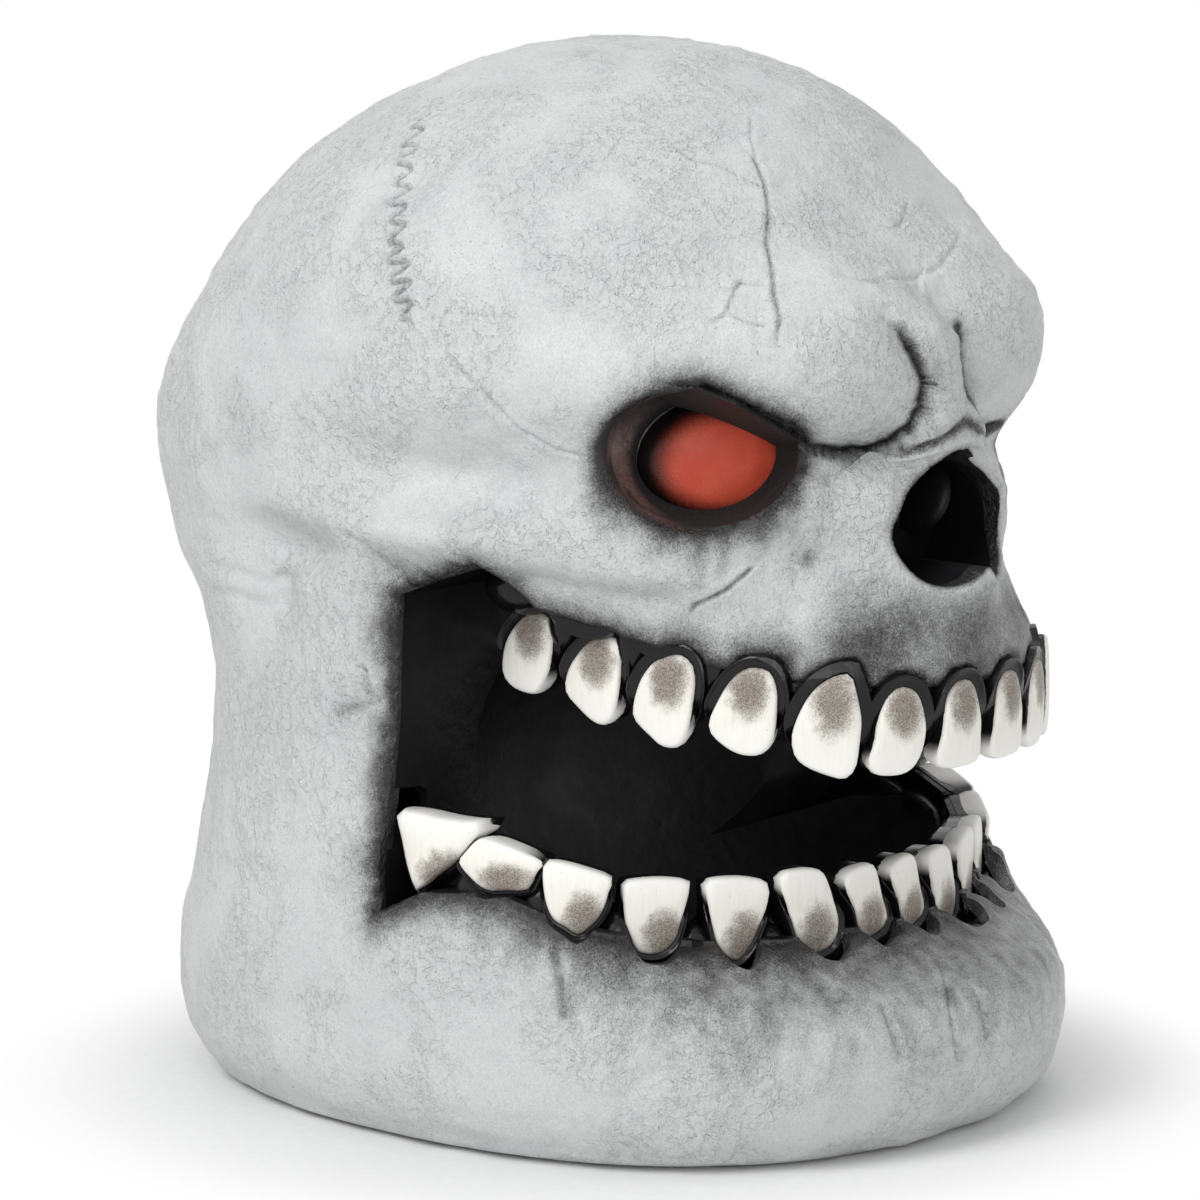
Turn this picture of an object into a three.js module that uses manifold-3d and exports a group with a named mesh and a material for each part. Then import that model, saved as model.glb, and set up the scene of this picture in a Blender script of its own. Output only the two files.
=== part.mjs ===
// A light-up skull for the porch: a hollow moulded head with a wide open mouth that holds sweets.
// Millimetres, +Z up, the face looks along -Y, and the origin is under the middle of the head.
import * as THREE from "three";
import { mergeVertices } from "three/addons/utils/BufferGeometryUtils.js";
import Module from "manifold-3d";

const wasm = await Module();
wasm.setup();

// Driving sizes of the head.
const HEIGHT = 400;
const HALF_WIDTH = 149;
const HALF_DEPTH = 186;
const WALL = 4;
const LINER_WALL = 3;
const GAP = 0.3;
const OVERRUN = 30;
const MERGE_DISTANCE = 1e-4;
const SEAM_DISTANCE = 1e-6;
const FINE = 24;
const COARSE = 16;

// Levels of the head from the crown down to the middle of its underside. Each holds shares of
// the height, the reach forward, the reach back and the half width behind and in front, and
// then how square the outline is in front and behind, where 2 is an ellipse.
const LEVEL_SHARES = [
  [1.0, 0.0, 0.0, 0.0, 0.0, 2.0, 2.0],
  [0.991, 0.215, 0.17, 0.24, 0.24, 2.0, 2.0],
  [0.97, 0.376, 0.333, 0.4, 0.4, 2.0, 2.0],
  [0.9375, 0.505, 0.495, 0.57, 0.57, 2.0, 2.05],
  [0.895, 0.6, 0.634, 0.73, 0.73, 2.0, 2.1],
  [0.845, 0.69, 0.742, 0.866, 0.866, 2.0, 2.1],
  [0.795, 0.76, 0.828, 0.94, 0.94, 2.0, 2.1],
  [0.745, 0.805, 0.903, 0.98, 0.98, 2.0, 2.15],
  [0.695, 0.82, 0.968, 1.0, 1.0, 1.95, 2.25],
  [0.645, 0.845, 1.0, 0.99, 0.985, 1.85, 2.35],
  [0.595, 0.885, 1.0, 0.973, 0.97, 1.65, 2.4],
  [0.55, 0.92, 0.99, 0.953, 0.955, 1.5, 2.35],
  [0.505, 0.925, 0.973, 0.945, 0.8, 1.8, 2.3],
  [0.45, 0.945, 0.909, 0.935, 0.73, 2.15, 2.2],
  [0.385, 0.9, 0.87, 0.933, 0.76, 2.2, 2.2],
  [0.315, 0.745, 0.872, 0.946, 0.92, 2.4, 2.2],
  [0.25, 0.765, 0.89, 0.973, 0.955, 2.4, 2.25],
  [0.2, 0.855, 0.905, 0.987, 0.98, 2.25, 2.25],
  [0.15, 0.925, 0.925, 0.997, 0.997, 2.15, 2.35],
  [0.1, 0.935, 0.935, 1.0, 1.0, 2.2, 2.35],
  [0.055, 0.919, 0.92, 0.985, 0.985, 2.25, 2.35],
  [0.02, 0.875, 0.885, 0.93, 0.93, 2.3, 2.35],
  [0.0, 0.78, 0.8, 0.83, 0.83, 2.3, 2.35],
  [0.0, 0.4, 0.4, 0.43, 0.43, 2.2, 2.2],
  [0.0, 0.0, 0.0, 0.0, 0.0, 2.0, 2.0],
];
// Over this share of the way forward the width passes from the one behind to the one in front.
const SIDE_BLEND_SHARE = 0.45;

// Swellings and hollows laid over the levels, on both sides of the head alike. Each has its
// place and its spread as shares of half width, half depth and height, and its push outwards
// as a share of the half width.
const SWELL_SHARES = {
  brow_lobe: { place: [0.32, -0.86, 0.75], spread: [0.25, 0.3, 0.07], push: 0.125 },
  brow_edge: { place: [0.27, -0.86, 0.695], spread: [0.22, 0.25, 0.035], push: 0.035 },
  under_brow: { place: [0.26, -0.82, 0.632], spread: [0.26, 0.25, 0.026], push: -0.055 },
  brow_tail: { place: [0.75, -0.6, 0.715], spread: [0.24, 0.24, 0.045], push: 0.06 },
  frown: { place: [0.0, -0.9, 0.7], spread: [0.09, 0.3, 0.06], push: -0.05 },
  nose_bone: { place: [0.0, -0.86, 0.655], spread: [0.12, 0.2, 0.05], push: 0.035 },
  nose_spine: { place: [0.0, -0.93, 0.53], spread: [0.09, 0.2, 0.03], push: 0.045 },
  cheekbone: { place: [0.72, -0.52, 0.545], spread: [0.28, 0.3, 0.04], push: 0.05 },
  zygoma: { place: [0.96, -0.14, 0.57], spread: [0.22, 0.34, 0.022], push: 0.045 },
  cheek: { place: [0.46, -0.84, 0.52], spread: [0.14, 0.2, 0.05], push: -0.03 },
  temple: { place: [0.98, -0.2, 0.63], spread: [0.25, 0.24, 0.036], push: -0.08 },
  ear: { place: [0.97, 0.22, 0.545], spread: [0.22, 0.15, 0.026], push: -0.075 },
  ear_pit: { place: [0.95, 0.3, 0.49], spread: [0.2, 0.1, 0.05], push: -0.045 },
  lip: { place: [0.1, -0.86, 0.2], spread: [0.38, 0.3, 0.045], push: -0.11 },
  lip_corner: { place: [0.6, -0.66, 0.205], spread: [0.25, 0.25, 0.045], push: -0.1 },
  jaw_crease: { place: [0.98, 0.0, 0.225], spread: [0.25, 0.4, 0.02], push: -0.02 },
};
// The inside of the wall follows a swelling only by this share of it, and a hollow in full.
const INSIDE_SWELL_SHARE = 0.3;
// What the swellings push away from: a short upright line in the middle of the head.
const CORE_LOW_SHARE = 0.15;
const CORE_HIGH_SHARE = 0.6;

const OUTER_SEGMENTS = 46;
const OUTER_RINGS = 36;
const INNER_SEGMENTS = 26;
const INNER_RINGS = 18;
const BALL_SEGMENTS = 20;
const BALL_RINGS = 12;
const BOWL_SEGMENTS = 24;
const BOWL_RINGS = 14;
const TURBINATE_SEGMENTS = 16;
const TURBINATE_RINGS = 10;
const TOOTH_SEGMENTS = 10;
const TOOTH_RINGS = 7;
const OVAL_SEGMENTS = 40;

// The eyes: a lens in a hollow socket, turned outwards, each with a light behind it.
const EYE_SHARES = [0.433, -0.554, 0.6375];
const EYE_TURN = THREE.MathUtils.degToRad(33);
const LENS_RADII = new THREE.Vector3(29.5, 13, 22.5);
const LENS_WALL = 2.5;
const SOCKET_SHARES = [0.5475, -0.6333, 0.6425];
const SOCKET_RADII = new THREE.Vector3(40, 26, 29);
const CUP_DEPTH = 26;
const CUP_BACK_SHARE = 0.45;
const CUP_WALL = 2.5;
const BOARD_RADIUS = 11;
const BOARD_THICKNESS = 1.6;
const LED_RADIUS = 2.5;
const LED_LENGTH = 8.6;
const LED_TIP_STEPS = 5;
const WIRE_RADIUS = 1.2;
const WIRE_STUB = 9.6;
const WIRE_STEPS = 30;
const WIRE_SEGMENTS = 4;
const WIRE_SHARES = [
  [0.385, -0.25, 0.65],
  [0.37, 0.1, 0.62],
  [0.3, 0.27, 0.45],
  [0.2, 0.31, 0.2],
  [0.1, 0.32, 0.11],
];

// The nose opening, seen from the front, as shares of half width and height.
const NOSE_SHARES = [
  [0.0, 0.54],
  [0.04, 0.53],
  [0.095, 0.524],
  [0.15, 0.531],
  [0.185, 0.5475],
  [0.203, 0.568],
  [0.2, 0.585],
  [0.168, 0.6075],
  [0.09, 0.629],
  [0.03, 0.6425],
  [0.0, 0.6435],
];
const NOSE_BACK_SHARE = 0.69;
// The two scrolls at the back of the nose, and their radii, as shares of the same sizes.
const TURBINATE_SHARES = [0.1, -0.72, 0.59];
const TURBINATE_RADIUS_SHARES = [0.04, 0.065, 0.028];

// The mouth opening, seen from the side, as shares of half depth and height.
const MOUTH_SHARES = [
  [-0.075, 0.22],
  [-0.075, 0.51],
  [-0.14, 0.525],
  [-0.25, 0.5425],
  [-0.31, 0.5],
  [-0.56, 0.4675],
  [-0.71, 0.4475],
  [-0.92, 0.435],
  [-1.3, 0.43],
  [-1.3, 0.192],
  [-0.7, 0.192],
  [-0.59, 0.196],
  [-0.46, 0.216],
  [-0.31, 0.25],
  [-0.15, 0.2425],
];
const BOWL_SHARES = [0.0, -0.33, 0.345];
const BOWL_RADII_SHARES = [0.845, 0.41, 0.195];

// The teeth from the middle of the mouth backwards. Each holds its place as shares of half
// width, half depth and height, and then its width, height and thickness. The lower row stands
// a little lower on the left, by a drop in millimetres.
const tooth = (place, width, height, thickness, leftDrop = 0) => ({
  place,
  width,
  height,
  thickness,
  leftDrop,
});
const UPPER_TEETH = [
  tooth([0.088, -0.92, 0.4], 22, 32, 11),
  tooth([0.257, -0.884, 0.4], 23, 32, 11),
  tooth([0.396, -0.81, 0.4075], 25, 38, 12),
  tooth([0.497, -0.677, 0.419], 25, 32, 12),
  tooth([0.564, -0.527, 0.424], 25, 34, 12),
  tooth([0.597, -0.371, 0.436], 25, 33, 12),
  tooth([0.604, -0.204, 0.4525], 24, 31, 12),
];
const LOWER_TEETH = [
  tooth([0.0775, -0.684, 0.22], 20, 28, 10),
  tooth([0.25, -0.66, 0.22], 24, 32, 10, 3),
  tooth([0.43, -0.6, 0.22], 25, 31, 11, 3),
  tooth([0.606, -0.517, 0.2275], 25, 28, 11, 6),
  tooth([0.758, -0.43, 0.2475], 25, 27, 12, 10),
  tooth([0.832, -0.3, 0.2725], 25, 20, 14, 9),
  tooth([0.852, -0.15, 0.275], 25, 28, 18, 6),
];
const TOOTH_TAPER_SHARE = 0.22;
const TOOTH_BITE_SHARE = 0.8;
const TOOTH_FULLNESS = 1.12;
// Round each tooth the edge of the head is cut back by this, through its whole wall.
const SCALLOP = 4;
const SCALLOP_DEPTH = 56;

// The gums: a rail that follows the teeth, seen along the rail, outwards and up from a tooth's
// middle. The outer step runs out to the inside of the head.
const UPPER_GUM = { out: 3.5, back: 16, reach: 40, near: 3, step: 18, far: 30 };
const LOWER_GUM = { out: 3.5, back: 16, reach: 40, near: -2, step: -10, far: -28 };
const GUM_STATIONS = 24;
const GUM_END = 14;

// The underside: a recessed plate on screws, with the battery box, its door and the switch.
const FLOOR = 11;
const PLATE_RADII = new THREE.Vector2(104, 118);
const HATCH_RADII = new THREE.Vector2(90, 104);
const PLATE_LOW = 2;
const PLATE_THICKNESS = 4.4;
const BOSS_RADIUS = 7;
const BOSS_HEIGHT = 16;
const SCREW_RADIUS = 1.7;
const SCREW_LENGTH = 16;
const SCREW_HEAD_RADIUS = 4;
const SCREW_HEAD_HEIGHT = 1.6;
const CELL_RADIUS = 7.1;
const CELL_LENGTH = 50;
const CELL_NUB_RADIUS = 2.6;
const CELL_NUB_LENGTH = 1.2;
const CELL_COUNT = 3;
const CELL_PITCH = 15.4;
const CONTACT_THICKNESS = 0.6;
const CONTACT_SIZE = 11;
const BOX_WALL = 2.2;
const BOX_MIDDLE_Y = 62;
const HINGE_PIN_RADIUS = 1.1;
const HINGE_PIN_LENGTH = 4;
const FINGER_RADIUS = 9;
const SWITCH_Y = 12;
const SWITCH_SIZE = new THREE.Vector3(24, 13, 9);
const SLIDER_KNOB = new THREE.Vector3(5, 4.4, 5);
const SLIDER_FOOT = new THREE.Vector3(8, 7.6, 1.4);
const SLIDER_TRAVEL = 4;

// One row of a table at a place between its rows, on a smooth curve through them.
function blendRows(rows, place) {
  const at = Math.min(Math.max(place, 0), 1) * (rows.length - 1);
  const i = Math.min(Math.floor(at), rows.length - 2);
  const t = at - i;
  const before = rows[Math.max(i - 1, 0)];
  const after = rows[Math.min(i + 2, rows.length - 1)];
  return rows[i].map((from, k) => {
    const to = rows[i + 1][k];
    const leave = (to - before[k]) / 2;
    const arrive = (after[k] - from) / 2;
    return (
      from +
      t * leave +
      t * t * (3 * (to - from) - 2 * leave - arrive) +
      t * t * t * (2 * (from - to) + leave + arrive)
    );
  });
}

// The skin of the head in a direction, sunk below the surface by a depth.
function skinPoint(direction, sunk) {
  const drop = Math.acos(Math.min(Math.max(direction.z, -1), 1)) / Math.PI;
  const [up, front, back, side, frontSide, squareFront, squareBack] = blendRows(LEVEL_SHARES, drop);
  const round = Math.hypot(direction.x, direction.y) || 1;
  const across = direction.x / round;
  const along = direction.y / round;
  const ahead = THREE.MathUtils.smoothstep(-along, 0, SIDE_BLEND_SHARE);
  const square = along < 0 ? squareFront : squareBack;
  const bulge = (value) => Math.sign(value) * Math.abs(value) ** (2 / square);
  const point = new THREE.Vector3(
    HALF_WIDTH * THREE.MathUtils.lerp(side, frontSide, ahead) * bulge(across),
    HALF_DEPTH * (along < 0 ? front : back) * bulge(along),
    HEIGHT * Math.max(up, 0),
  );
  const core = THREE.MathUtils.clamp(point.z, HEIGHT * CORE_LOW_SHARE, HEIGHT * CORE_HIGH_SHARE);
  const outward = point.clone().sub(new THREE.Vector3(0, 0, core)).normalize();
  let push = -sunk;
  for (const { place, spread, push: full } of Object.values(SWELL_SHARES)) {
    const share = sunk && full > 0 ? full * INSIDE_SWELL_SHARE : full;
    const x = (Math.abs(point.x) / HALF_WIDTH - place[0]) / spread[0];
    const y = (point.y / HALF_DEPTH - place[1]) / spread[1];
    const z = (point.z / HEIGHT - place[2]) / spread[2];
    push += HALF_WIDTH * share * Math.exp(-(x * x + y * y + z * z));
  }
  return point.addScaledVector(outward, push);
}

// A closed geometry as a solid that can be joined and cut.
function solid(geometry) {
  const bare = geometry.clone();
  for (const name of Object.keys(bare.attributes)) {
    if (name !== "position") bare.deleteAttribute(name);
  }
  const merged = mergeVertices(bare, MERGE_DISTANCE);
  const index = merged.index.array;
  const triVerts = [];
  for (let i = 0; i < index.length; i += 3) {
    const [a, b, c] = [index[i], index[i + 1], index[i + 2]];
    if (a !== b && b !== c && c !== a) triVerts.push(a, b, c);
  }
  return new wasm.Manifold(
    new wasm.Mesh({
      numProp: 3,
      vertProperties: merged.attributes.position.array,
      triVerts: new Uint32Array(triVerts),
    }),
  );
}

function geometryOf(made) {
  const mesh = made.getMesh();
  return new THREE.BufferGeometry()
    .setAttribute("position", new THREE.BufferAttribute(mesh.vertProperties, mesh.numProp))
    .setIndex(new THREE.BufferAttribute(mesh.triVerts, 1));
}

const joined = (solids) => solids.reduce((all, one) => all.add(one));
const without = (made, cuts) => cuts.reduce((left, cut) => left.subtract(cut), made);

// Crumbs that a cut leaves behind are dropped.
function largest(made) {
  return made.decompose().sort((a, b) => b.volume() - a.volume())[0];
}

// A place given as shares of the head's sizes, on one side of it.
const placeOf = ([x, y, z], side = 1) =>
  new THREE.Vector3(side * HALF_WIDTH * x, HALF_DEPTH * y, HEIGHT * z);

const head = new THREE.Group();

function addPiece(name, made, material) {
  const geometry = made.isBufferGeometry ? made : geometryOf(made);
  geometry.computeVertexNormals();
  const mesh = new THREE.Mesh(geometry, material);
  mesh.name = name;
  head.add(mesh);
  return mesh;
}

const paint = (color, roughness, metalness = 0) =>
  new THREE.MeshStandardMaterial({ color, roughness, metalness });
const BONE_GREY = paint(0xc3c6c7, 0.6);
const GLOSS_BLACK = paint(0x141416, 0.25);
const TOOTH_WHITE = paint(0xece8dc, 0.5);
const EYE_RED = paint(0xc8432f, 0.4);
const CUP_WHITE = paint(0xe8e8e6, 0.6);
const BOARD_GREEN = paint(0x2c5c3a, 0.5);
const LED_RED = paint(0xd9463a, 0.2);
const WIRE_BLACK = paint(0x1c1c1e, 0.5);
const PLATE_BLACK = paint(0x242426, 0.55);
const STEEL = paint(0xb4b6b8, 0.3, 1);
const CELL_GREY = paint(0x55585c, 0.4, 0.3);

// A ball drawn out to an ellipsoid.
function ellipsoid(radii, segments = BALL_SEGMENTS, rings = BALL_RINGS) {
  return new THREE.SphereGeometry(1, segments, rings).scale(radii.x, radii.y, radii.z);
}

function block(width, depth, height, middle) {
  return solid(new THREE.BoxGeometry(width, depth, height).translate(middle.x, middle.y, middle.z));
}

// A round bar along Z from a low to a high end.
function bar(radius, x, y, low, high, segments = COARSE) {
  const shape = new THREE.CylinderGeometry(radius, radius, high - low, segments);
  return solid(shape.rotateX(Math.PI / 2).translate(x, y, (low + high) / 2));
}

// An oval slab lying flat, centred on the head.
function ovalSlab(radii, low, high) {
  const shape = new THREE.CylinderGeometry(1, 1, high - low, OVAL_SEGMENTS).rotateX(Math.PI / 2);
  return solid(shape.scale(radii.x, radii.y, 1).translate(0, 0, (low + high) / 2));
}

// An outline pushed out by a distance all round.
function inflate(outline, grow) {
  const turn = THREE.ShapeUtils.area(outline) > 0 ? 1 : -1;
  return outline.map((point, i) => {
    const before = outline[(i + outline.length - 1) % outline.length];
    const after = outline[(i + 1) % outline.length];
    const into = point.clone().sub(before).normalize();
    const leave = after.clone().sub(point).normalize();
    const normal = new THREE.Vector2(into.y + leave.y, -into.x - leave.x).normalize();
    const miter = Math.max(normal.dot(new THREE.Vector2(into.y, -into.x)), 0.5);
    return point.clone().addScaledVector(normal, (turn * grow) / miter);
  });
}

// A bar through stations. Each station has a middle and an outward direction, and the section
// holds points as outwards and up from the middle.
function sweep(stations, section) {
  const spots = stations.flatMap(({ middle, outward }) =>
    section.map(([out, up]) => middle.clone().addScaledVector(outward, out).setZ(middle.z + up)),
  );
  const n = section.length;
  const faces = [];
  for (let s = 0; s + 1 < stations.length; s++) {
    for (let k = 0; k < n; k++) {
      const [a, b] = [s * n + k, s * n + ((k + 1) % n)];
      faces.push(a, a + n, b, b, a + n, b + n);
    }
  }
  const outline = section.map(([out, up]) => new THREE.Vector2(out, up));
  const last = (stations.length - 1) * n;
  const turn = Math.sign(THREE.ShapeUtils.area(outline));
  for (const corners of THREE.ShapeUtils.triangulateShape(outline, [])) {
    const same = Math.sign(THREE.ShapeUtils.area(corners.map((k) => outline[k]))) === turn;
    const [a, b, c] = same ? corners : [...corners].reverse();
    faces.push(a, b, c, last + a, last + c, last + b);
  }
  const geometry = new THREE.BufferGeometry().setFromPoints(spots).setIndex(faces);
  const made = solid(geometry);
  if (made.volume() > 0) return made;
  return solid(geometry.setIndex([...faces].reverse()));
}

function skinSolid(sunk, segments, rings) {
  const ball = new THREE.SphereGeometry(1, segments, rings).rotateX(Math.PI / 2);
  const spots = ball.attributes.position;
  const direction = new THREE.Vector3();
  for (let i = 0; i < spots.count; i++) {
    direction.fromBufferAttribute(spots, i).normalize();
    if (Math.abs(direction.x) < SEAM_DISTANCE) direction.x = 0;
    const point = skinPoint(direction, sunk);
    spots.setXYZ(i, point.x, point.y, sunk ? Math.max(point.z, FLOOR) : Math.max(point.z, 0));
  }
  return solid(ball);
}

// The sides of the head: its own right is at -X and its left at +X.
const SIDES = [
  { mark: "r", side: -1 },
  { mark: "l", side: 1 },
];

// A frame at an eye: Y runs out of the socket along the gaze, backwards.
function eyeMatrix(side) {
  const turn = new THREE.Matrix4().makeRotationZ(side * EYE_TURN);
  return turn.setPosition(placeOf(EYE_SHARES, side));
}

const inEye = (side, geometry) => solid(geometry.clone().applyMatrix4(eyeMatrix(side)));

const grown = (radii, grow) => radii.clone().addScalar(grow);

// An oval tube or plug behind the lens, of the lens's own outline.
function lensTube(grow, depth) {
  const shape = new THREE.CylinderGeometry(1, 1, depth, FINE).translate(0, depth / 2, 0);
  return shape.scale(LENS_RADII.x + grow, 1, LENS_RADII.z + grow);
}

function socketVoid(side, grow) {
  const frame = new THREE.Matrix4().makeRotationZ(side * EYE_TURN);
  frame.setPosition(placeOf(SOCKET_SHARES, side));
  return solid(ellipsoid(grown(SOCKET_RADII, grow)).applyMatrix4(frame));
}

function lensHole(side) {
  return inEye(side, ellipsoid(grown(LENS_RADII, GAP))).add(inEye(side, lensTube(GAP, OVERRUN)));
}

function lensDome(side) {
  const behind = new THREE.BoxGeometry(2 * HALF_WIDTH, HALF_WIDTH, 2 * HALF_WIDTH);
  return inEye(side, ellipsoid(LENS_RADII))
    .subtract(inEye(side, ellipsoid(grown(LENS_RADII, -LENS_WALL))))
    .subtract(inEye(side, behind.translate(0, HALF_WIDTH / 2, 0)));
}

// The white cup behind a lens, narrowing to the light, with a hole for it.
function ledCup(side) {
  const profile = [
    [1 - CUP_WALL / LENS_RADII.z, GAP],
    [1, GAP],
    [1, GAP + CUP_WALL],
    [CUP_BACK_SHARE, CUP_DEPTH],
    [(LED_RADIUS + GAP) / LENS_RADII.z, CUP_DEPTH],
    [(LED_RADIUS + GAP) / LENS_RADII.z, CUP_DEPTH - CUP_WALL],
    [CUP_BACK_SHARE - CUP_WALL / LENS_RADII.z, CUP_DEPTH - CUP_WALL],
  ].map(([radius, depth]) => new THREE.Vector2(radius, depth));
  const shape = new THREE.LatheGeometry([...profile, profile[0]], FINE);
  return shape.scale(LENS_RADII.x, 1, LENS_RADII.z);
}

function ledBoard() {
  const shape = new THREE.CylinderGeometry(BOARD_RADIUS, BOARD_RADIUS, BOARD_THICKNESS, FINE);
  return shape.translate(0, CUP_DEPTH + GAP + BOARD_THICKNESS / 2, 0);
}

// A light with a rounded tip, its foot on the board.
function ledLamp() {
  const foot = CUP_DEPTH;
  const tip = foot - LED_LENGTH;
  const profile = [new THREE.Vector2(0, foot), new THREE.Vector2(LED_RADIUS, foot)];
  for (let step = 0; step <= LED_TIP_STEPS; step++) {
    const angle = (step / LED_TIP_STEPS) * (Math.PI / 2);
    profile.push(
      new THREE.Vector2(LED_RADIUS * Math.cos(angle), tip + LED_RADIUS * (1 - Math.sin(angle))),
    );
  }
  return new THREE.LatheGeometry(profile.reverse(), COARSE);
}

// A twin wire from a board, round the back of the mouth and down to the battery box.
function ledWire(side) {
  const start = new THREE.Vector3(0, CUP_DEPTH + BOARD_THICKNESS + 2 * GAP, 0);
  const away = start.clone().setY(start.y + WIRE_STUB);
  const points = [start, away].map((point) => point.applyMatrix4(eyeMatrix(side)));
  points.push(...WIRE_SHARES.map((share) => placeOf(share, side)));
  const end = points.at(-1).clone();
  end.z = boxTop + GAP;
  points.push(end);
  const section = new THREE.Shape().absarc(0, 0, WIRE_RADIUS, 0, 2 * Math.PI);
  return new THREE.ExtrudeGeometry(section, {
    steps: WIRE_STEPS,
    curveSegments: WIRE_SEGMENTS,
    extrudePath: new THREE.CatmullRomCurve3(points),
  });
}

// A tooth as a drawn-out ball: narrow at the root, and flat where a lower one bites.
function toothShape({ width, height, thickness }, rootUp, grow = 0) {
  const ball = new THREE.SphereGeometry(1, TOOTH_SEGMENTS, TOOTH_RINGS).rotateX(Math.PI / 2);
  const spots = ball.attributes.position;
  for (let i = 0; i < spots.count; i++) {
    const up = rootUp ? spots.getZ(i) : -spots.getZ(i);
    const taper = 1 - TOOTH_TAPER_SHARE * up;
    const bite = Math.max(up, rootUp ? -1 : -TOOTH_BITE_SHARE);
    spots.setXYZ(
      i,
      Math.max(-1, Math.min(1, spots.getX(i) * TOOTH_FULLNESS)) * taper * (width / 2 + grow),
      Math.max(-1, Math.min(1, spots.getY(i) * TOOTH_FULLNESS)) * taper * (thickness / 2 + grow),
      (rootUp ? bite : -bite) * (height / 2 + grow),
    );
  }
  return ball;
}

// Teeth of one row over both sides, from the far left round the front to the far right.
function row(teeth) {
  const [right, left] = SIDES.map(({ mark, side }) =>
    teeth.map((one, i) => {
      const middle = placeOf(one.place, side);
      if (side > 0) middle.z -= one.leftDrop;
      return { ...one, name: `${mark}${i + 1}`, middle };
    }),
  );
  const all = [...left.reverse(), ...right];
  return all.map((one, i) => {
    const before = all[Math.max(i - 1, 0)].middle;
    const after = all[Math.min(i + 1, all.length - 1)].middle;
    const heading = Math.atan2(before.y - after.y, before.x - after.x);
    return { ...one, matrix: new THREE.Matrix4().makeRotationZ(heading).setPosition(one.middle) };
  });
}

const toothSolid = (one, rootUp, grow = 0) =>
  solid(toothShape(one, rootUp, grow).applyMatrix4(one.matrix));

function gumRail(teeth, gum, grow) {
  const middles = teeth.map((one) => one.middle);
  const path = new THREE.CatmullRomCurve3(middles);
  const stations = [];
  for (let i = 0; i <= GUM_STATIONS; i++) {
    const t = i / GUM_STATIONS;
    const heading = path.getTangentAt(t).setZ(0).normalize();
    stations.push({
      middle: path.getPointAt(t),
      outward: new THREE.Vector3(-heading.y, heading.x, 0),
      heading,
    });
  }
  const [first, last] = [stations[0], stations.at(-1)];
  const start = first.middle.clone().addScaledVector(first.heading, -GUM_END - grow);
  const end = last.middle.clone().addScaledVector(last.heading, GUM_END + grow);
  const way = Math.sign(gum.far);
  const section = [
    [-gum.back - grow, gum.near - way * grow],
    [gum.out + grow, gum.near - way * grow],
    [gum.out + grow, gum.step - way * grow],
    [gum.reach, gum.step - way * grow],
    [gum.reach, gum.far + way * grow],
    [-gum.back - grow, gum.far + way * grow],
  ];
  return sweep([{ ...first, middle: start }, ...stations, { ...last, middle: end }], section);
}

function mouthVoid(grow) {
  const outline = MOUTH_SHARES.map(([y, z]) => new THREE.Vector2(HALF_DEPTH * y, HEIGHT * z));
  const width = 2 * (HALF_WIDTH + OVERRUN);
  const window = new THREE.ExtrudeGeometry(new THREE.Shape(inflate(outline, grow)), {
    depth: width,
    bevelEnabled: false,
  });
  const across = new THREE.Matrix4().makeBasis(
    new THREE.Vector3(0, 1, 0),
    new THREE.Vector3(0, 0, 1),
    new THREE.Vector3(1, 0, 0),
  );
  window.translate(0, 0, -width / 2).applyMatrix4(across);
  const radii = placeOf(BOWL_RADII_SHARES).addScalar(grow);
  const middle = placeOf(BOWL_SHARES);
  const bowl = ellipsoid(radii, BOWL_SEGMENTS, BOWL_RINGS).translate(middle.x, middle.y, middle.z);
  return solid(window).add(solid(bowl));
}

function noseVoid(grow, back) {
  const half = NOSE_SHARES.map(([x, z]) => new THREE.Vector2(HALF_WIDTH * x, HEIGHT * z));
  const other = half.slice(1, -1).reverse().map(({ x, y }) => new THREE.Vector2(-x, y));
  const outline = new THREE.Shape(inflate([...half, ...other], grow));
  const depth = HALF_DEPTH + OVERRUN - back;
  const shape = new THREE.ExtrudeGeometry(outline, { depth, bevelEnabled: false });
  return solid(shape.rotateX(Math.PI / 2).translate(0, -back, 0));
}

const upperRow = row(UPPER_TEETH);
const lowerRow = row(LOWER_TEETH);
const plateHigh = PLATE_LOW + PLATE_THICKNESS;
const ledge = plateHigh + GAP;
const boxInside = {
  width: CELL_LENGTH + CELL_NUB_LENGTH + 2 * CONTACT_THICKNESS + 4 * GAP,
  depth: CELL_COUNT * CELL_PITCH,
};
const boxLow = plateHigh + GAP;
const boxTop = boxLow + 2 * CELL_RADIUS + 2 * GAP + BOX_WALL;
const hingeY = BOX_MIDDLE_Y + boxInside.depth / 2 - GAP - PLATE_THICKNESS / 2;
const hingeZ = PLATE_LOW + PLATE_THICKNESS / 2;
const screwPlaces = SIDES.flatMap(({ side }) =>
  [-1, 1].map((end) => {
    const angle = Math.PI / 4;
    const middle = PLATE_RADII.clone().add(HATCH_RADII).divideScalar(2);
    return new THREE.Vector2(side * middle.x * Math.cos(angle), end * middle.y * Math.sin(angle));
  }),
);

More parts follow.
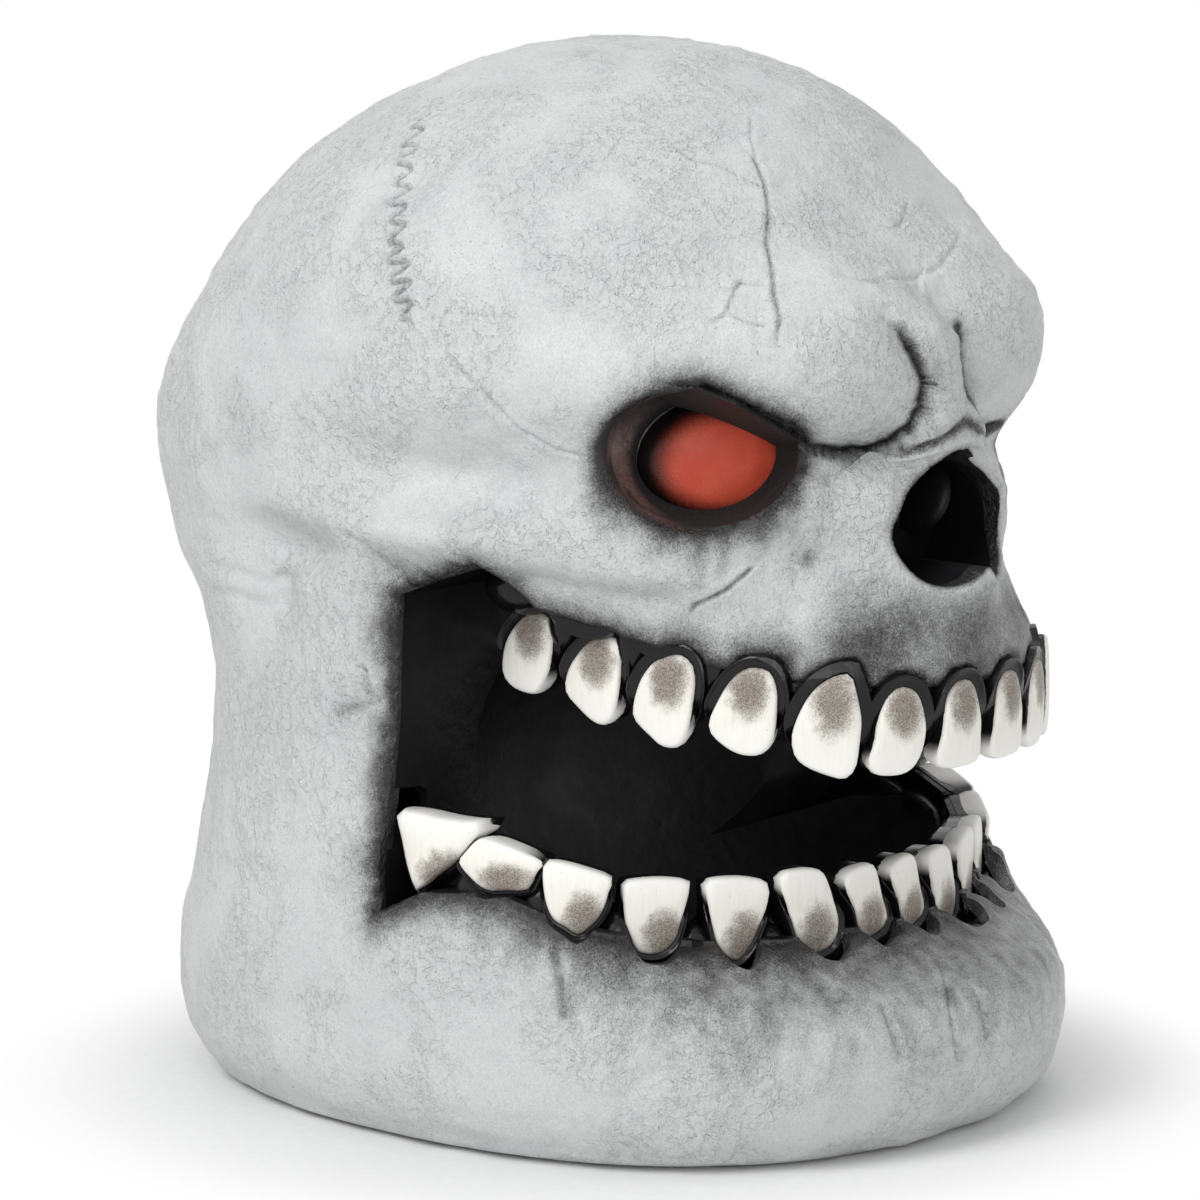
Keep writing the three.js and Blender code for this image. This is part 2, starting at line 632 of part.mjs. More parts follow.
function shell() {
  const outer = skinSolid(0, OUTER_SEGMENTS, OUTER_RINGS);
  const sockets = SIDES.map(({ side }) => socketVoid(side, WALL));
  const inner = without(skinSolid(WALL, INNER_SEGMENTS, INNER_RINGS), sockets);
  const bosses = screwPlaces.map(({ x, y }) => bar(BOSS_RADIUS, x, y, ledge, ledge + BOSS_HEIGHT));
  const scallop = (rootUp) => (one) =>
    toothSolid({ ...one, thickness: SCALLOP_DEPTH }, rootUp, SCALLOP);
  const scallops = [...upperRow.map(scallop(true)), ...lowerRow.map(scallop(false))];
  const hollow = joined([without(outer, [inner]), ...bosses]);
  const cut = without(hollow, [
    mouthVoid(0),
    noseVoid(0, HALF_DEPTH * NOSE_BACK_SHARE),
    ovalSlab(grownOval(PLATE_RADII, GAP), -OVERRUN, ledge),
    ovalSlab(HATCH_RADII, -OVERRUN, FLOOR + GAP),
    ...SIDES.flatMap(({ side }) => [socketVoid(side, 0), lensHole(side)]),
    ...scallops,
    ...screwPlaces.map(({ x, y }) => bar(SCREW_RADIUS + GAP, x, y, 0, ledge + BOSS_HEIGHT - WALL)),
  ]);
  return largest(cut);
}

function grownOval(radii, grow) {
  return new THREE.Vector2(radii.x + grow, radii.y + grow);
}

const linerSkin = skinSolid(WALL + GAP, INNER_SEGMENTS, INNER_RINGS);
const eyeRoom = SIDES.map(({ side }) => socketVoid(side, WALL + GAP));

addPiece("skull_shell", shell(), BONE_GREY);

const gumOf = (teeth, gum, rootUp) => {
  const rail = gumRail(teeth, gum, 0).intersect(linerSkin);
  return largest(without(rail, teeth.map((one) => toothSolid(one, rootUp, GAP))));
};
addPiece("upper_gum", gumOf(upperRow, UPPER_GUM, true), GLOSS_BLACK);
addPiece("lower_gum", gumOf(lowerRow, LOWER_GUM, false), GLOSS_BLACK);

// The lining of the mouth is moulded in two, a roof and a bowl, that meet at the bowl's middle.
// Outside the lower teeth the gum takes its place.
const mouthCup = mouthVoid(LINER_WALL).subtract(mouthVoid(0)).intersect(linerSkin);
const mouthLiner = largest(
  without(mouthCup, [
    gumRail(upperRow, UPPER_GUM, GAP),
    gumRail(lowerRow, { ...LOWER_GUM, step: LOWER_GUM.near }, GAP),
    ...lowerRow.map((one) => toothSolid(one, false, GAP)),
    ...upperRow.map((one) => toothSolid(one, true, GAP)),
    ...eyeRoom,
  ]),
);
const linerSeam = placeOf(BOWL_SHARES).z;
const linerRoof = mouthLiner.trimByPlane([0, 0, 1], linerSeam + GAP / 2);
const linerBowl = mouthLiner.trimByPlane([0, 0, -1], GAP / 2 - linerSeam);
addPiece("mouth_liner_roof", largest(linerRoof), GLOSS_BLACK);
addPiece("mouth_liner_bowl", largest(linerBowl), GLOSS_BLACK);

const noseBack = HALF_DEPTH * NOSE_BACK_SHARE;
const turbinates = SIDES.map(({ side }) => {
  const middle = placeOf(TURBINATE_SHARES, side);
  const radii = placeOf(TURBINATE_RADIUS_SHARES);
  const shape = ellipsoid(radii, TURBINATE_SEGMENTS, TURBINATE_RINGS);
  return solid(shape.translate(middle.x, middle.y, middle.z));
});
const noseCup = noseVoid(LINER_WALL, noseBack - LINER_WALL)
  .subtract(noseVoid(0, noseBack))
  .add(joined(turbinates).intersect(noseVoid(LINER_WALL, noseBack - LINER_WALL)))
  .intersect(linerSkin);
addPiece("nose_liner", largest(without(noseCup, eyeRoom)), GLOSS_BLACK);

for (const one of upperRow) addPiece(`upper_tooth_${one.name}`, toothSolid(one, true), TOOTH_WHITE);
for (const one of lowerRow) addPiece(`lower_tooth_${one.name}`, toothSolid(one, false), TOOTH_WHITE);

for (const { mark, side } of SIDES) {
  addPiece(`eye_lens_${mark}`, lensDome(side), EYE_RED);
  addPiece(`led_cup_${mark}`, inEye(side, ledCup(side)), CUP_WHITE);
  addPiece(`led_board_${mark}`, inEye(side, ledBoard()), BOARD_GREEN);
  addPiece(`led_${mark}`, inEye(side, ledLamp()), LED_RED);
  addPiece(`led_wire_${mark}`, solid(ledWire(side)), WIRE_BLACK);
}

// The plate in the underside, with the battery door's opening, hinge holes and switch slot.
function basePlate() {
  const low = PLATE_LOW;
  const slot = {
    width: SLIDER_KNOB.x + SLIDER_TRAVEL + 2 * GAP,
    depth: SLIDER_KNOB.y + 2 * GAP,
  };
  const mid = new THREE.Vector3(0, 0, (low + plateHigh) / 2);
  const hinge = new THREE.CylinderGeometry(
    HINGE_PIN_RADIUS + GAP,
    HINGE_PIN_RADIUS + GAP,
    boxInside.width + 2 * (HINGE_PIN_LENGTH + GAP),
    COARSE,
  );
  return without(ovalSlab(PLATE_RADII, low, plateHigh), [
    block(boxInside.width, boxInside.depth, OVERRUN, mid.clone().setY(BOX_MIDDLE_Y)),
    solid(hinge.rotateZ(Math.PI / 2).translate(0, hingeY, hingeZ)),
    block(slot.width, slot.depth, OVERRUN, mid.clone().setY(SWITCH_Y)),
    ...screwPlaces.map(({ x, y }) => bar(SCREW_RADIUS + GAP, x, y, 0, ledge)),
  ]);
}

// The battery door: a slab with a round hinge edge behind, two pins and a finger hollow.
function batteryDoor() {
  const width = boxInside.width - 2 * GAP;
  const front = BOX_MIDDLE_Y - boxInside.depth / 2 + GAP;
  const mid = new THREE.Vector3(0, (front + hingeY) / 2, hingeZ);
  const round = new THREE.CylinderGeometry(PLATE_THICKNESS / 2, PLATE_THICKNESS / 2, width, FINE);
  const pin = new THREE.CylinderGeometry(
    HINGE_PIN_RADIUS,
    HINGE_PIN_RADIUS,
    width + 2 * HINGE_PIN_LENGTH,
    COARSE,
  );
  const finger = new THREE.CylinderGeometry(FINGER_RADIUS, FINGER_RADIUS, PLATE_THICKNESS, FINE);
  const slab = block(width, hingeY - front, PLATE_THICKNESS, mid)
    .add(solid(round.rotateZ(Math.PI / 2).translate(0, hingeY, hingeZ)))
    .add(solid(pin.rotateZ(Math.PI / 2).translate(0, hingeY, hingeZ)));
  finger.rotateX(Math.PI / 2).translate(0, front, PLATE_LOW - PLATE_THICKNESS / 4);
  return slab.subtract(solid(finger));
}

// The battery box: a tray with its open side down, standing on the plate.
function batteryBox() {
  const height = boxTop - boxLow;
  const outer = new THREE.Vector3(
    boxInside.width + 2 * BOX_WALL,
    boxInside.depth + 2 * BOX_WALL,
    height,
  );
  const mid = new THREE.Vector3(0, BOX_MIDDLE_Y, boxLow + height / 2);
  return block(outer.x, outer.y, outer.z, mid).subtract(
    block(boxInside.width, boxInside.depth, height, mid.clone().setZ(mid.z - BOX_WALL)),
  );
}

const cellZ = boxLow + GAP + CELL_RADIUS;
const cellY = (i) => BOX_MIDDLE_Y + (i - (CELL_COUNT - 1) / 2) * CELL_PITCH;
// The cells lie by turns with their raised end to the head's left and right.
const cellTurn = (i) => (i % 2 === 0 ? 1 : -1);

function cell(i) {
  const half = (CELL_LENGTH - CELL_NUB_LENGTH) / 2;
  const shift = -CELL_NUB_LENGTH / 2;
  const profile = [
    [0, -half],
    [CELL_RADIUS, -half],
    [CELL_RADIUS, half],
    [CELL_NUB_RADIUS, half],
    [CELL_NUB_RADIUS, half + CELL_NUB_LENGTH],
    [0, half + CELL_NUB_LENGTH],
  ].map(([radius, along]) => new THREE.Vector2(radius, along + shift));
  const shape = new THREE.LatheGeometry(profile, FINE).rotateZ((-cellTurn(i) * Math.PI) / 2);
  return shape.translate(0, cellY(i), cellZ);
}

// A flat contact on the end wall of the box, at one cell or bridging two.
function contact(side, first, last) {
  const x = side * (boxInside.width / 2 - GAP - CONTACT_THICKNESS / 2);
  const width = (last - first) * CELL_PITCH + CONTACT_SIZE;
  const middle = new THREE.Vector3(x, (cellY(first) + cellY(last)) / 2, cellZ);
  return block(CONTACT_THICKNESS, width, CONTACT_SIZE, middle);
}

function switchBody() {
  const middle = new THREE.Vector3(0, SWITCH_Y, boxLow + SWITCH_SIZE.z / 2);
  const room = new THREE.Vector3(
    SLIDER_FOOT.x + SLIDER_TRAVEL + 2 * GAP,
    SLIDER_FOOT.y + 2 * GAP,
    2 * (SLIDER_FOOT.z + 2 * GAP),
  );
  return block(SWITCH_SIZE.x, SWITCH_SIZE.y, SWITCH_SIZE.z, middle).subtract(
    block(room.x, room.y, room.z, middle.clone().setZ(boxLow)),
  );
}

// The slider: a knob down through the plate, held by a wider foot above it.
function switchSlider() {
  const x = -SLIDER_TRAVEL / 2;
  const foot = new THREE.Vector3(x, SWITCH_Y, boxLow + SLIDER_FOOT.z / 2);
  const knob = new THREE.Vector3(x, SWITCH_Y, boxLow + SLIDER_FOOT.z / 2 - SLIDER_KNOB.z / 2);
  return block(SLIDER_FOOT.x, SLIDER_FOOT.y, SLIDER_FOOT.z, foot).add(
    block(SLIDER_KNOB.x, SLIDER_KNOB.y, SLIDER_KNOB.z, knob),
  );
}

function baseScrew({ x, y }) {
  const top = PLATE_LOW - GAP;
  return bar(SCREW_HEAD_RADIUS, x, y, top - SCREW_HEAD_HEIGHT, top).add(
    bar(SCREW_RADIUS, x, y, top - SCREW_HEAD_HEIGHT / 2, top + SCREW_LENGTH),
  );
}

addPiece("base_plate", basePlate(), PLATE_BLACK);
addPiece("battery_door", batteryDoor(), PLATE_BLACK);
addPiece("battery_box", batteryBox(), PLATE_BLACK);
for (let i = 0; i < CELL_COUNT; i++) addPiece(`aa_battery_${i + 1}`, solid(cell(i)), CELL_GREY);
addPiece("contact_positive", contact(1, 0, 0), STEEL);
addPiece("contact_bridge_l", contact(1, 1, 2), STEEL);
addPiece("contact_bridge_r", contact(-1, 0, 1), STEEL);
addPiece("contact_negative", contact(-1, 2, 2), STEEL);
addPiece("switch_body", switchBody(), PLATE_BLACK);
addPiece("switch_slider", switchSlider(), STEEL);
screwPlaces.forEach((place, i) => addPiece(`base_screw_${i + 1}`, baseScrew(place), STEEL));

// The whole part stands with the middle of its box's underside at the origin.
const bounds = new THREE.Box3().setFromObject(head);
const middle = bounds.getCenter(new THREE.Vector3());
head.position.set(-middle.x, -middle.y, -bounds.min.z);
const part = new THREE.Group();
part.add(head);
part.updateMatrixWorld(true);
export default part;
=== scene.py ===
import math

import bmesh
import bpy
import numpy as np
from mathutils import Matrix, Vector, noise
from mathutils.bvhtree import BVHTree
from mathutils.kdtree import KDTree


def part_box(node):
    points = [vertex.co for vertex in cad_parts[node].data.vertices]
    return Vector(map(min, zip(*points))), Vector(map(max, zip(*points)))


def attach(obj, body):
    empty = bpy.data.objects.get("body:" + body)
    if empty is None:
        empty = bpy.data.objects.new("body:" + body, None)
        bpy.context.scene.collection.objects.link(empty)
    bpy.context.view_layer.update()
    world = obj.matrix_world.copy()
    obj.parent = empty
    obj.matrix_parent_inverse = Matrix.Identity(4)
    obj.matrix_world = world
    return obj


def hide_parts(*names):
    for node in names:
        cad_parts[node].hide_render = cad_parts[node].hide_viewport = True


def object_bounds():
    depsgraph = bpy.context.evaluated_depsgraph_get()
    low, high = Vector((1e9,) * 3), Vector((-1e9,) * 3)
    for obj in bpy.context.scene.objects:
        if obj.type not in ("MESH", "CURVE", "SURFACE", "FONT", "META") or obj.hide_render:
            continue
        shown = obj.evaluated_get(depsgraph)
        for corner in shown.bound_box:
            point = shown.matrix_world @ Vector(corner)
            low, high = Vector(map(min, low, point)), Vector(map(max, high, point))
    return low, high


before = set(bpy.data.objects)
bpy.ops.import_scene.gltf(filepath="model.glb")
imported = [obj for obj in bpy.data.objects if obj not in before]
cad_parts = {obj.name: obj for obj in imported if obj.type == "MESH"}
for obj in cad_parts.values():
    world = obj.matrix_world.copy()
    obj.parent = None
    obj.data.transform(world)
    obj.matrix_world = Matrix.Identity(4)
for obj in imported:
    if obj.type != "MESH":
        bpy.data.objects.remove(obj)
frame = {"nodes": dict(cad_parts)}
cad_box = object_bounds()
nodes = frame["nodes"]

MM = 0.001
plate_low, plate_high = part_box("base_plate")
SHIFT = (plate_low + plate_high) / 2 / MM
TO_PART = Matrix.Scale(MM, 4) @ Matrix.Translation((SHIFT.x, SHIFT.y, 0))

HEIGHT = 400
HALF_WIDTH = 149
HALF_DEPTH = 186
HALF = np.array([HALF_WIDTH, HALF_DEPTH, HEIGHT], float)
# The wall that the CAD part has, and the thicker one that gives the creases room.
WALL = 4
DEEP_WALL = 7
LINER_WALL = 3
GAP = 0.3
# Keeps two surfaces that would fall together apart.
HAIR = 0.06
OVERRUN = 30
FLOOR = 11
# A distance that counts as out of reach, and the least number that is divided by.
FAR = 99.0
TINY = 1e-9
SIDES = {"r": -1, "l": 1}

# Height, reach forward, reach back, half width behind and in front, squareness in front and
# behind, as shares, from the crown to the underside.
LEVELS = np.array([
    (1.0, 0.0, 0.0, 0.0, 0.0, 2.0, 2.0),
    (0.991, 0.215, 0.17, 0.24, 0.24, 2.0, 2.0),
    (0.97, 0.376, 0.333, 0.4, 0.4, 2.0, 2.0),
    (0.9375, 0.505, 0.495, 0.57, 0.57, 2.0, 2.05),
    (0.895, 0.6, 0.634, 0.73, 0.73, 2.0, 2.1),
    (0.845, 0.69, 0.742, 0.866, 0.866, 2.0, 2.1),
    (0.795, 0.76, 0.828, 0.94, 0.94, 2.0, 2.1),
    (0.745, 0.805, 0.903, 0.98, 0.98, 2.0, 2.15),
    (0.695, 0.82, 0.968, 1.0, 1.0, 1.95, 2.25),
    (0.645, 0.845, 1.0, 0.99, 0.985, 1.85, 2.35),
    (0.595, 0.885, 1.0, 0.973, 0.97, 1.65, 2.4),
    (0.55, 0.92, 0.99, 0.953, 0.955, 1.5, 2.35),
    (0.505, 0.925, 0.973, 0.945, 0.8, 1.8, 2.3),
    (0.45, 0.945, 0.909, 0.935, 0.73, 2.15, 2.2),
    (0.385, 0.9, 0.87, 0.933, 0.76, 2.2, 2.2),
    (0.315, 0.745, 0.872, 0.946, 0.92, 2.4, 2.2),
    (0.25, 0.765, 0.89, 0.973, 0.955, 2.4, 2.25),
    (0.2, 0.855, 0.905, 0.987, 0.98, 2.25, 2.25),
    (0.15, 0.925, 0.925, 0.997, 0.997, 2.15, 2.35),
    (0.1, 0.935, 0.935, 1.0, 1.0, 2.2, 2.35),
    (0.055, 0.919, 0.92, 0.985, 0.985, 2.25, 2.35),
    (0.02, 0.875, 0.885, 0.93, 0.93, 2.3, 2.35),
    (0.0, 0.78, 0.8, 0.83, 0.83, 2.3, 2.35),
    (0.0, 0.4, 0.4, 0.43, 0.43, 2.2, 2.2),
    (0.0, 0.0, 0.0, 0.0, 0.0, 2.0, 2.0),
])
SIDE_BLEND_SHARE = 0.45
# Swellings and hollows: place and spread as shares of the head's sizes, push as a share of width.
SWELLS = [
    ((0.32, -0.86, 0.75), (0.25, 0.3, 0.07), 0.125),
    ((0.27, -0.86, 0.695), (0.22, 0.25, 0.035), 0.035),
    ((0.26, -0.82, 0.632), (0.26, 0.25, 0.026), -0.055),
    ((0.75, -0.6, 0.715), (0.24, 0.24, 0.045), 0.06),
    ((0.0, -0.9, 0.7), (0.09, 0.3, 0.06), -0.05),
    ((0.0, -0.86, 0.655), (0.12, 0.2, 0.05), 0.035),
    ((0.0, -0.93, 0.53), (0.09, 0.2, 0.03), 0.045),
    ((0.72, -0.52, 0.545), (0.28, 0.3, 0.04), 0.05),
    ((0.96, -0.14, 0.57), (0.22, 0.34, 0.022), 0.045),
    ((0.46, -0.84, 0.52), (0.14, 0.2, 0.05), -0.03),
    ((0.98, -0.2, 0.63), (0.25, 0.24, 0.036), -0.08),
    ((0.97, 0.22, 0.545), (0.22, 0.15, 0.026), -0.075),
    ((0.95, 0.3, 0.49), (0.2, 0.1, 0.05), -0.045),
    ((0.1, -0.86, 0.2), (0.38, 0.3, 0.045), -0.11),
    ((0.6, -0.66, 0.205), (0.25, 0.25, 0.045), -0.1),
    ((0.98, 0.0, 0.225), (0.25, 0.4, 0.02), -0.02),
    ((0.2, -0.83, 0.648), (0.11, 0.2, 0.028), -0.075),
    ((0.36, -0.86, 0.565), (0.15, 0.2, 0.05), -0.045),
    ((0.25, -0.8, 0.188), (0.45, 0.3, 0.032), -0.055),
]
INSIDE_SWELL_SHARE = 0.3
CORE_LOW_SHARE = 0.15
CORE_HIGH_SHARE = 0.6

# The middles of eye and socket as shares of the head's sizes, and their radii in millimetres.
EYE = (0.433, -0.554, 0.6375)
EYE_TURN = math.radians(33)
LENS_RADII = (29.5, 13, 22.5)
LENS_WALL = 2.5
BEHIND_LENS = 100
SOCKET = (0.5757, -0.6187, 0.6525)
SOCKET_RADII = (35, 26, 27.5)
# Half the outline of the nose opening from the front, how far forward its back wall stands, and
# how far behind that wall the skin no longer counts as its edge. Then the scrolls in it.
NOSE = [
    (0.0, 0.54), (0.04, 0.53), (0.095, 0.524), (0.15, 0.531), (0.185, 0.5475), (0.203, 0.568),
    (0.2, 0.585), (0.168, 0.6075), (0.09, 0.629), (0.03, 0.6425), (0.0, 0.6435),
]
NOSE_BACK = 0.69
BEHIND_NOSE = 20
TURBINATE = (0.1, -0.72, 0.59)
TURBINATE_RADII = (4.5, 13, 14)
TURBINATE_TURN = 0.35
# The outline of the mouth opening from the side, and the bowl in its floor, as shares.
MOUTH = [
    (-0.045, 0.22), (-0.07, 0.51), (-0.14, 0.525), (-0.25, 0.5425), (-0.31, 0.5),
    (-0.56, 0.4675), (-0.71, 0.4475), (-0.92, 0.435), (-1.3, 0.43), (-1.3, 0.199),
    (-0.7, 0.199), (-0.59, 0.203), (-0.46, 0.222), (-0.31, 0.25), (-0.15, 0.2425),
]
BOWL = (0.0, -0.33, 0.345)
BOWL_RADII = (0.845, 0.41, 0.195)
ROOT_UP = {"upper": 1, "lower": -1}
# The notches that the teeth stand in: the room round a tooth, and their depth.
SCALLOP = {"upper": 4, "lower": 1.8}
SCALLOP_DEPTH = {"upper": 56, "lower": 40}
# A lower notch ends this far ahead of its tooth, and none reaches further than the second.
AHEAD_OF_TOOTH = 7
NEAR_TOOTH = 75
# The room for the gum in the mouth's lining: round a tooth, inwards and outwards.
GUM_ROOM = 8
GUM_BACK = 15
GUM_REACH = 45
# The recess of the base plate, the hole above it, and the bosses that take its screws.
PLATE_RADII = (104, 118)
HATCH_RADII = (90, 104)
LEDGE = 6.7
BOSS_RADIUS = 7
BOSS_HEIGHT = 16
SCREW_HOLE = 2
# How the meshes are cleaned, and from what angle an edge is sharp.
MERGE_WITHIN = 0.005
SHORTEST_EDGE = 0.004
SHARP_ANGLE = math.radians(40)

# The teeth from the middle backwards: place, width, height, thickness, drop on the left, and the
# outline of the painted face, seen from outside, in halves of its width and height.
UPPER_TEETH = [
    ((0.088, -0.92, 0.4), 22, 32, 11, 0, [
        (0.3, 1.0), (0.6, 0.91), (0.78, 0.65), (0.92, 0.31), (1.0, 0.0), (0.98, -0.38),
        (0.96, -0.8), (0.74, -0.94), (0.09, -0.99), (-0.5, -0.98), (-0.86, -0.89),
        (-1.0, -0.72), (-0.96, -0.55), (-0.78, -0.25), (-0.67, 0.14), (-0.6, 0.48),
        (-0.46, 0.74), (-0.13, 0.95)]),
    ((0.257, -0.884, 0.4), 23, 32, 11, 0, [
        (0.26, 1.0), (0.64, 0.87), (0.82, 0.65), (0.92, 0.39), (1.0, 0.04), (0.95, -0.27),
        (0.82, -0.58), (0.58, -0.84), (0.26, -0.97), (-0.18, -1.0), (-0.68, -0.95),
        (-0.92, -0.8), (-1.0, -0.58), (-0.8, -0.18), (-0.74, 0.12), (-0.61, 0.43),
        (-0.36, 0.78), (-0.05, 0.96)]),
    ((0.396, -0.81, 0.4075), 25, 38, 12, 0, [
        (0.64, 1.0), (0.75, 0.9), (0.9, 0.51), (1.0, 0.1), (0.96, -0.25), (0.9, -0.6),
        (0.8, -0.84), (0.53, -1.0), (0.27, -0.98), (-0.2, -0.88), (-0.64, -0.74),
        (-0.9, -0.56), (-1.0, -0.25), (-0.9, 0.06), (-0.64, 0.44), (-0.27, 0.76), (0.2, 0.95)]),
    ((0.497, -0.677, 0.419), 25, 32, 12, 0, [
        (0.35, 1.0), (0.8, 0.9), (1.0, 0.5), (1.0, 0.0), (0.9, -0.6), (0.55, -0.95),
        (0.0, -1.0), (-0.5, -0.85), (-0.95, -0.55), (-1.0, -0.25), (-0.75, 0.2),
        (-0.4, 0.65), (0.0, 0.93)]),
    ((0.564, -0.527, 0.424), 25, 34, 12, 0, [
        (0.5, 1.0), (0.9, 0.8), (1.0, 0.42), (0.93, 0.0), (0.82, -0.47), (0.63, -0.83),
        (0.38, -1.0), (-0.06, -1.0), (-0.4, -0.83), (-0.9, -0.52), (-1.0, -0.3),
        (-0.9, 0.1), (-0.64, 0.53), (-0.17, 0.87)]),
    ((0.597, -0.371, 0.436), 25, 33, 12, 0, [
        (0.5, 1.0), (0.9, 0.93), (1.0, 0.7), (0.98, 0.2), (0.92, -0.2), (0.8, -0.62),
        (0.6, -0.9), (0.3, -1.0), (-0.05, -0.93), (-0.5, -0.7), (-0.93, -0.42),
        (-1.0, -0.16), (-0.8, 0.26), (-0.27, 0.75), (0.15, 0.95)]),
    ((0.604, -0.204, 0.4525), 24, 31, 12, 0, [
        (0.49, 1.0), (0.88, 0.82), (1.0, 0.4), (0.88, -0.31), (0.5, -0.85), (0.16, -1.0),
        (-0.6, -0.9), (-1.0, -0.55), (-0.85, 0.17), (-0.34, 0.7), (0.1, 0.95)]),
]
LOWER_TEETH = [
    ((0.0775, -0.684, 0.22), 22, 28, 10, 0, [
        (-0.84, 0.83), (-0.43, 0.97), (0.15, 1.0), (0.43, 0.86), (0.6, 0.48), (0.76, 0.04),
        (1.0, -0.46), (0.93, -0.71), (0.56, -0.89), (0.07, -1.0), (-0.18, -0.89),
        (-0.39, -0.58), (-0.55, -0.14), (-0.8, 0.23), (-1.0, 0.54)]),
    ((0.25, -0.66, 0.22), 25, 32, 10, 3, [
        (-0.95, 0.94), (-0.43, 1.0), (0.08, 0.98), (0.45, 0.86), (0.67, 0.54), (0.85, 0.12),
        (1.0, -0.26), (0.96, -0.63), (0.74, -0.87), (0.3, -1.0), (-0.07, -0.95),
        (-0.43, -0.63), (-0.65, -0.15), (-0.84, 0.28), (-1.0, 0.6)]),
    ((0.43, -0.6, 0.22), 25, 31, 11, 3, [
        (-0.86, 0.98), (-0.06, 1.0), (0.67, 0.9), (0.96, 0.77), (1.0, 0.55), (0.89, 0.17),
        (0.67, -0.21), (0.38, -0.7), (0.01, -1.0), (-0.35, -0.86), (-0.64, -0.54),
        (-0.79, -0.1), (-0.9, 0.33), (-1.0, 0.77)]),
    ((0.606, -0.517, 0.2275), 25, 28, 11, 6, [
        (-0.85, 0.96), (0.06, 1.0), (0.83, 0.92), (1.0, 0.88), (0.97, 0.54), (0.83, 0.1),
        (0.69, -0.29), (0.55, -0.67), (0.2, -0.96), (-0.22, -1.0), (-0.57, -0.89),
        (-0.74, -0.6), (-0.92, -0.16), (-0.99, 0.35), (-0.99, 0.8)]),
    ((0.758, -0.43, 0.2475), 25, 27, 12, 10, [
        (-0.89, 0.98), (-0.42, 0.97), (0.44, 0.75), (1.0, 0.54), (0.9, 0.2), (0.77, -0.23),
        (0.54, -0.6), (0.04, -1.0), (-0.36, -0.79), (-0.69, -0.6), (-0.89, -0.23),
        (-0.99, 0.26), (-1.0, 0.75)]),
    ((0.832, -0.297, 0.2725), 34, 19, 14, 9, [
        (-1.0, 0.0), (-0.86, 0.39), (-0.53, 0.97), (-0.19, 1.0), (0.19, 0.83), (0.64, 0.59),
        (1.0, 0.3), (0.86, -0.1), (0.72, -0.59), (0.58, -0.83), (0.08, -0.93),
        (-0.19, -1.0), (-0.47, -0.88), (-0.8, -0.44)]),
    ((0.852, -0.165, 0.2755), 40, 30, 18, 6, [
        (-0.97, 1.0), (-1.0, 0.8), (-0.89, 0.3), (-0.74, -0.46), (-0.51, -1.0),
        (-0.17, -0.6), (0.34, -0.08), (0.69, 0.46), (0.97, 0.85), (0.97, 0.97),
        (0.57, 0.95), (0.0, 0.95), (-0.46, 1.0)]),
]

# The camera stands where the photograph was taken from. Places in the photograph are pixels.
AZIMUTH = math.radians(-48)
ELEVATION = math.radians(8.8)
DISTANCE = 2200
PIXELS_PER_MM = 2.62
TARGET = Vector((0, 0, 200))
TARGET_PIXEL = (614, 559)
PHOTO_SIZE = 1200
BACK = Vector((
    math.sin(AZIMUTH) * math.cos(ELEVATION),
    -math.cos(AZIMUTH) * math.cos(ELEVATION),
    math.sin(ELEVATION),
))
RIGHT = Vector((math.cos(AZIMUTH), math.sin(AZIMUTH), 0))
UP = BACK.cross(RIGHT)


def add_camera():
    camera = bpy.data.cameras.new("photo_camera")
    camera.sensor_fit = "HORIZONTAL"
    camera.sensor_width = 36
    wide = PHOTO_SIZE / PIXELS_PER_MM
    camera.lens = camera.sensor_width * DISTANCE / wide
    camera.shift_x = (PHOTO_SIZE / 2 - TARGET_PIXEL[0]) / PHOTO_SIZE
    camera.shift_y = (TARGET_PIXEL[1] - PHOTO_SIZE / 2) / PHOTO_SIZE
    camera.clip_start = 0.1
    camera.clip_end = 50
    holder = bpy.data.objects.new("photo_camera", camera)
    bpy.context.scene.collection.objects.link(holder)
    holder.rotation_mode = "QUATERNION"
    holder.rotation_quaternion = BACK.to_track_quat("Z", "Y")
    holder.location = (TARGET + BACK * DISTANCE) * MM
    bpy.context.scene.camera = holder


def pixel_ray(x, y):
    """The ray through a pixel of the photograph, in the head's own space."""
    start = TARGET + BACK * DISTANCE - Vector((SHIFT.x, SHIFT.y, 0))
    way = RIGHT * (x - TARGET_PIXEL[0]) / PIXELS_PER_MM + UP * (TARGET_PIXEL[1] - y) / PIXELS_PER_MM
    return start, (way - BACK * DISTANCE).normalized()


def blend_rows(rows, place):
    """Rows of a table at places between them, on a smooth curve."""
    at = np.clip(place, 0, 1) * (len(rows) - 1)
    i = np.minimum(at.astype(int), len(rows) - 2)
    t = (at - i)[:, None]
    a, b = rows[i], rows[i + 1]
    leave = (b - rows[np.maximum(i - 1, 0)]) / 2
    arrive = (rows[np.minimum(i + 2, len(rows) - 1)] - a) / 2
    step = b - a
    curve = t * t * (3 * step - 2 * leave - arrive) + t ** 3 * (leave + arrive - 2 * step)
    return a + t * leave + curve


def smooth(low, high, value):
    t = np.clip((value - low) / (high - low), 0, 1)
    return t * t * (3 - 2 * t)


def fade(apart, reach, power=2):
    """1 at a line or an edge, and less and less away from it."""
    return np.exp(-((apart / reach) ** power))


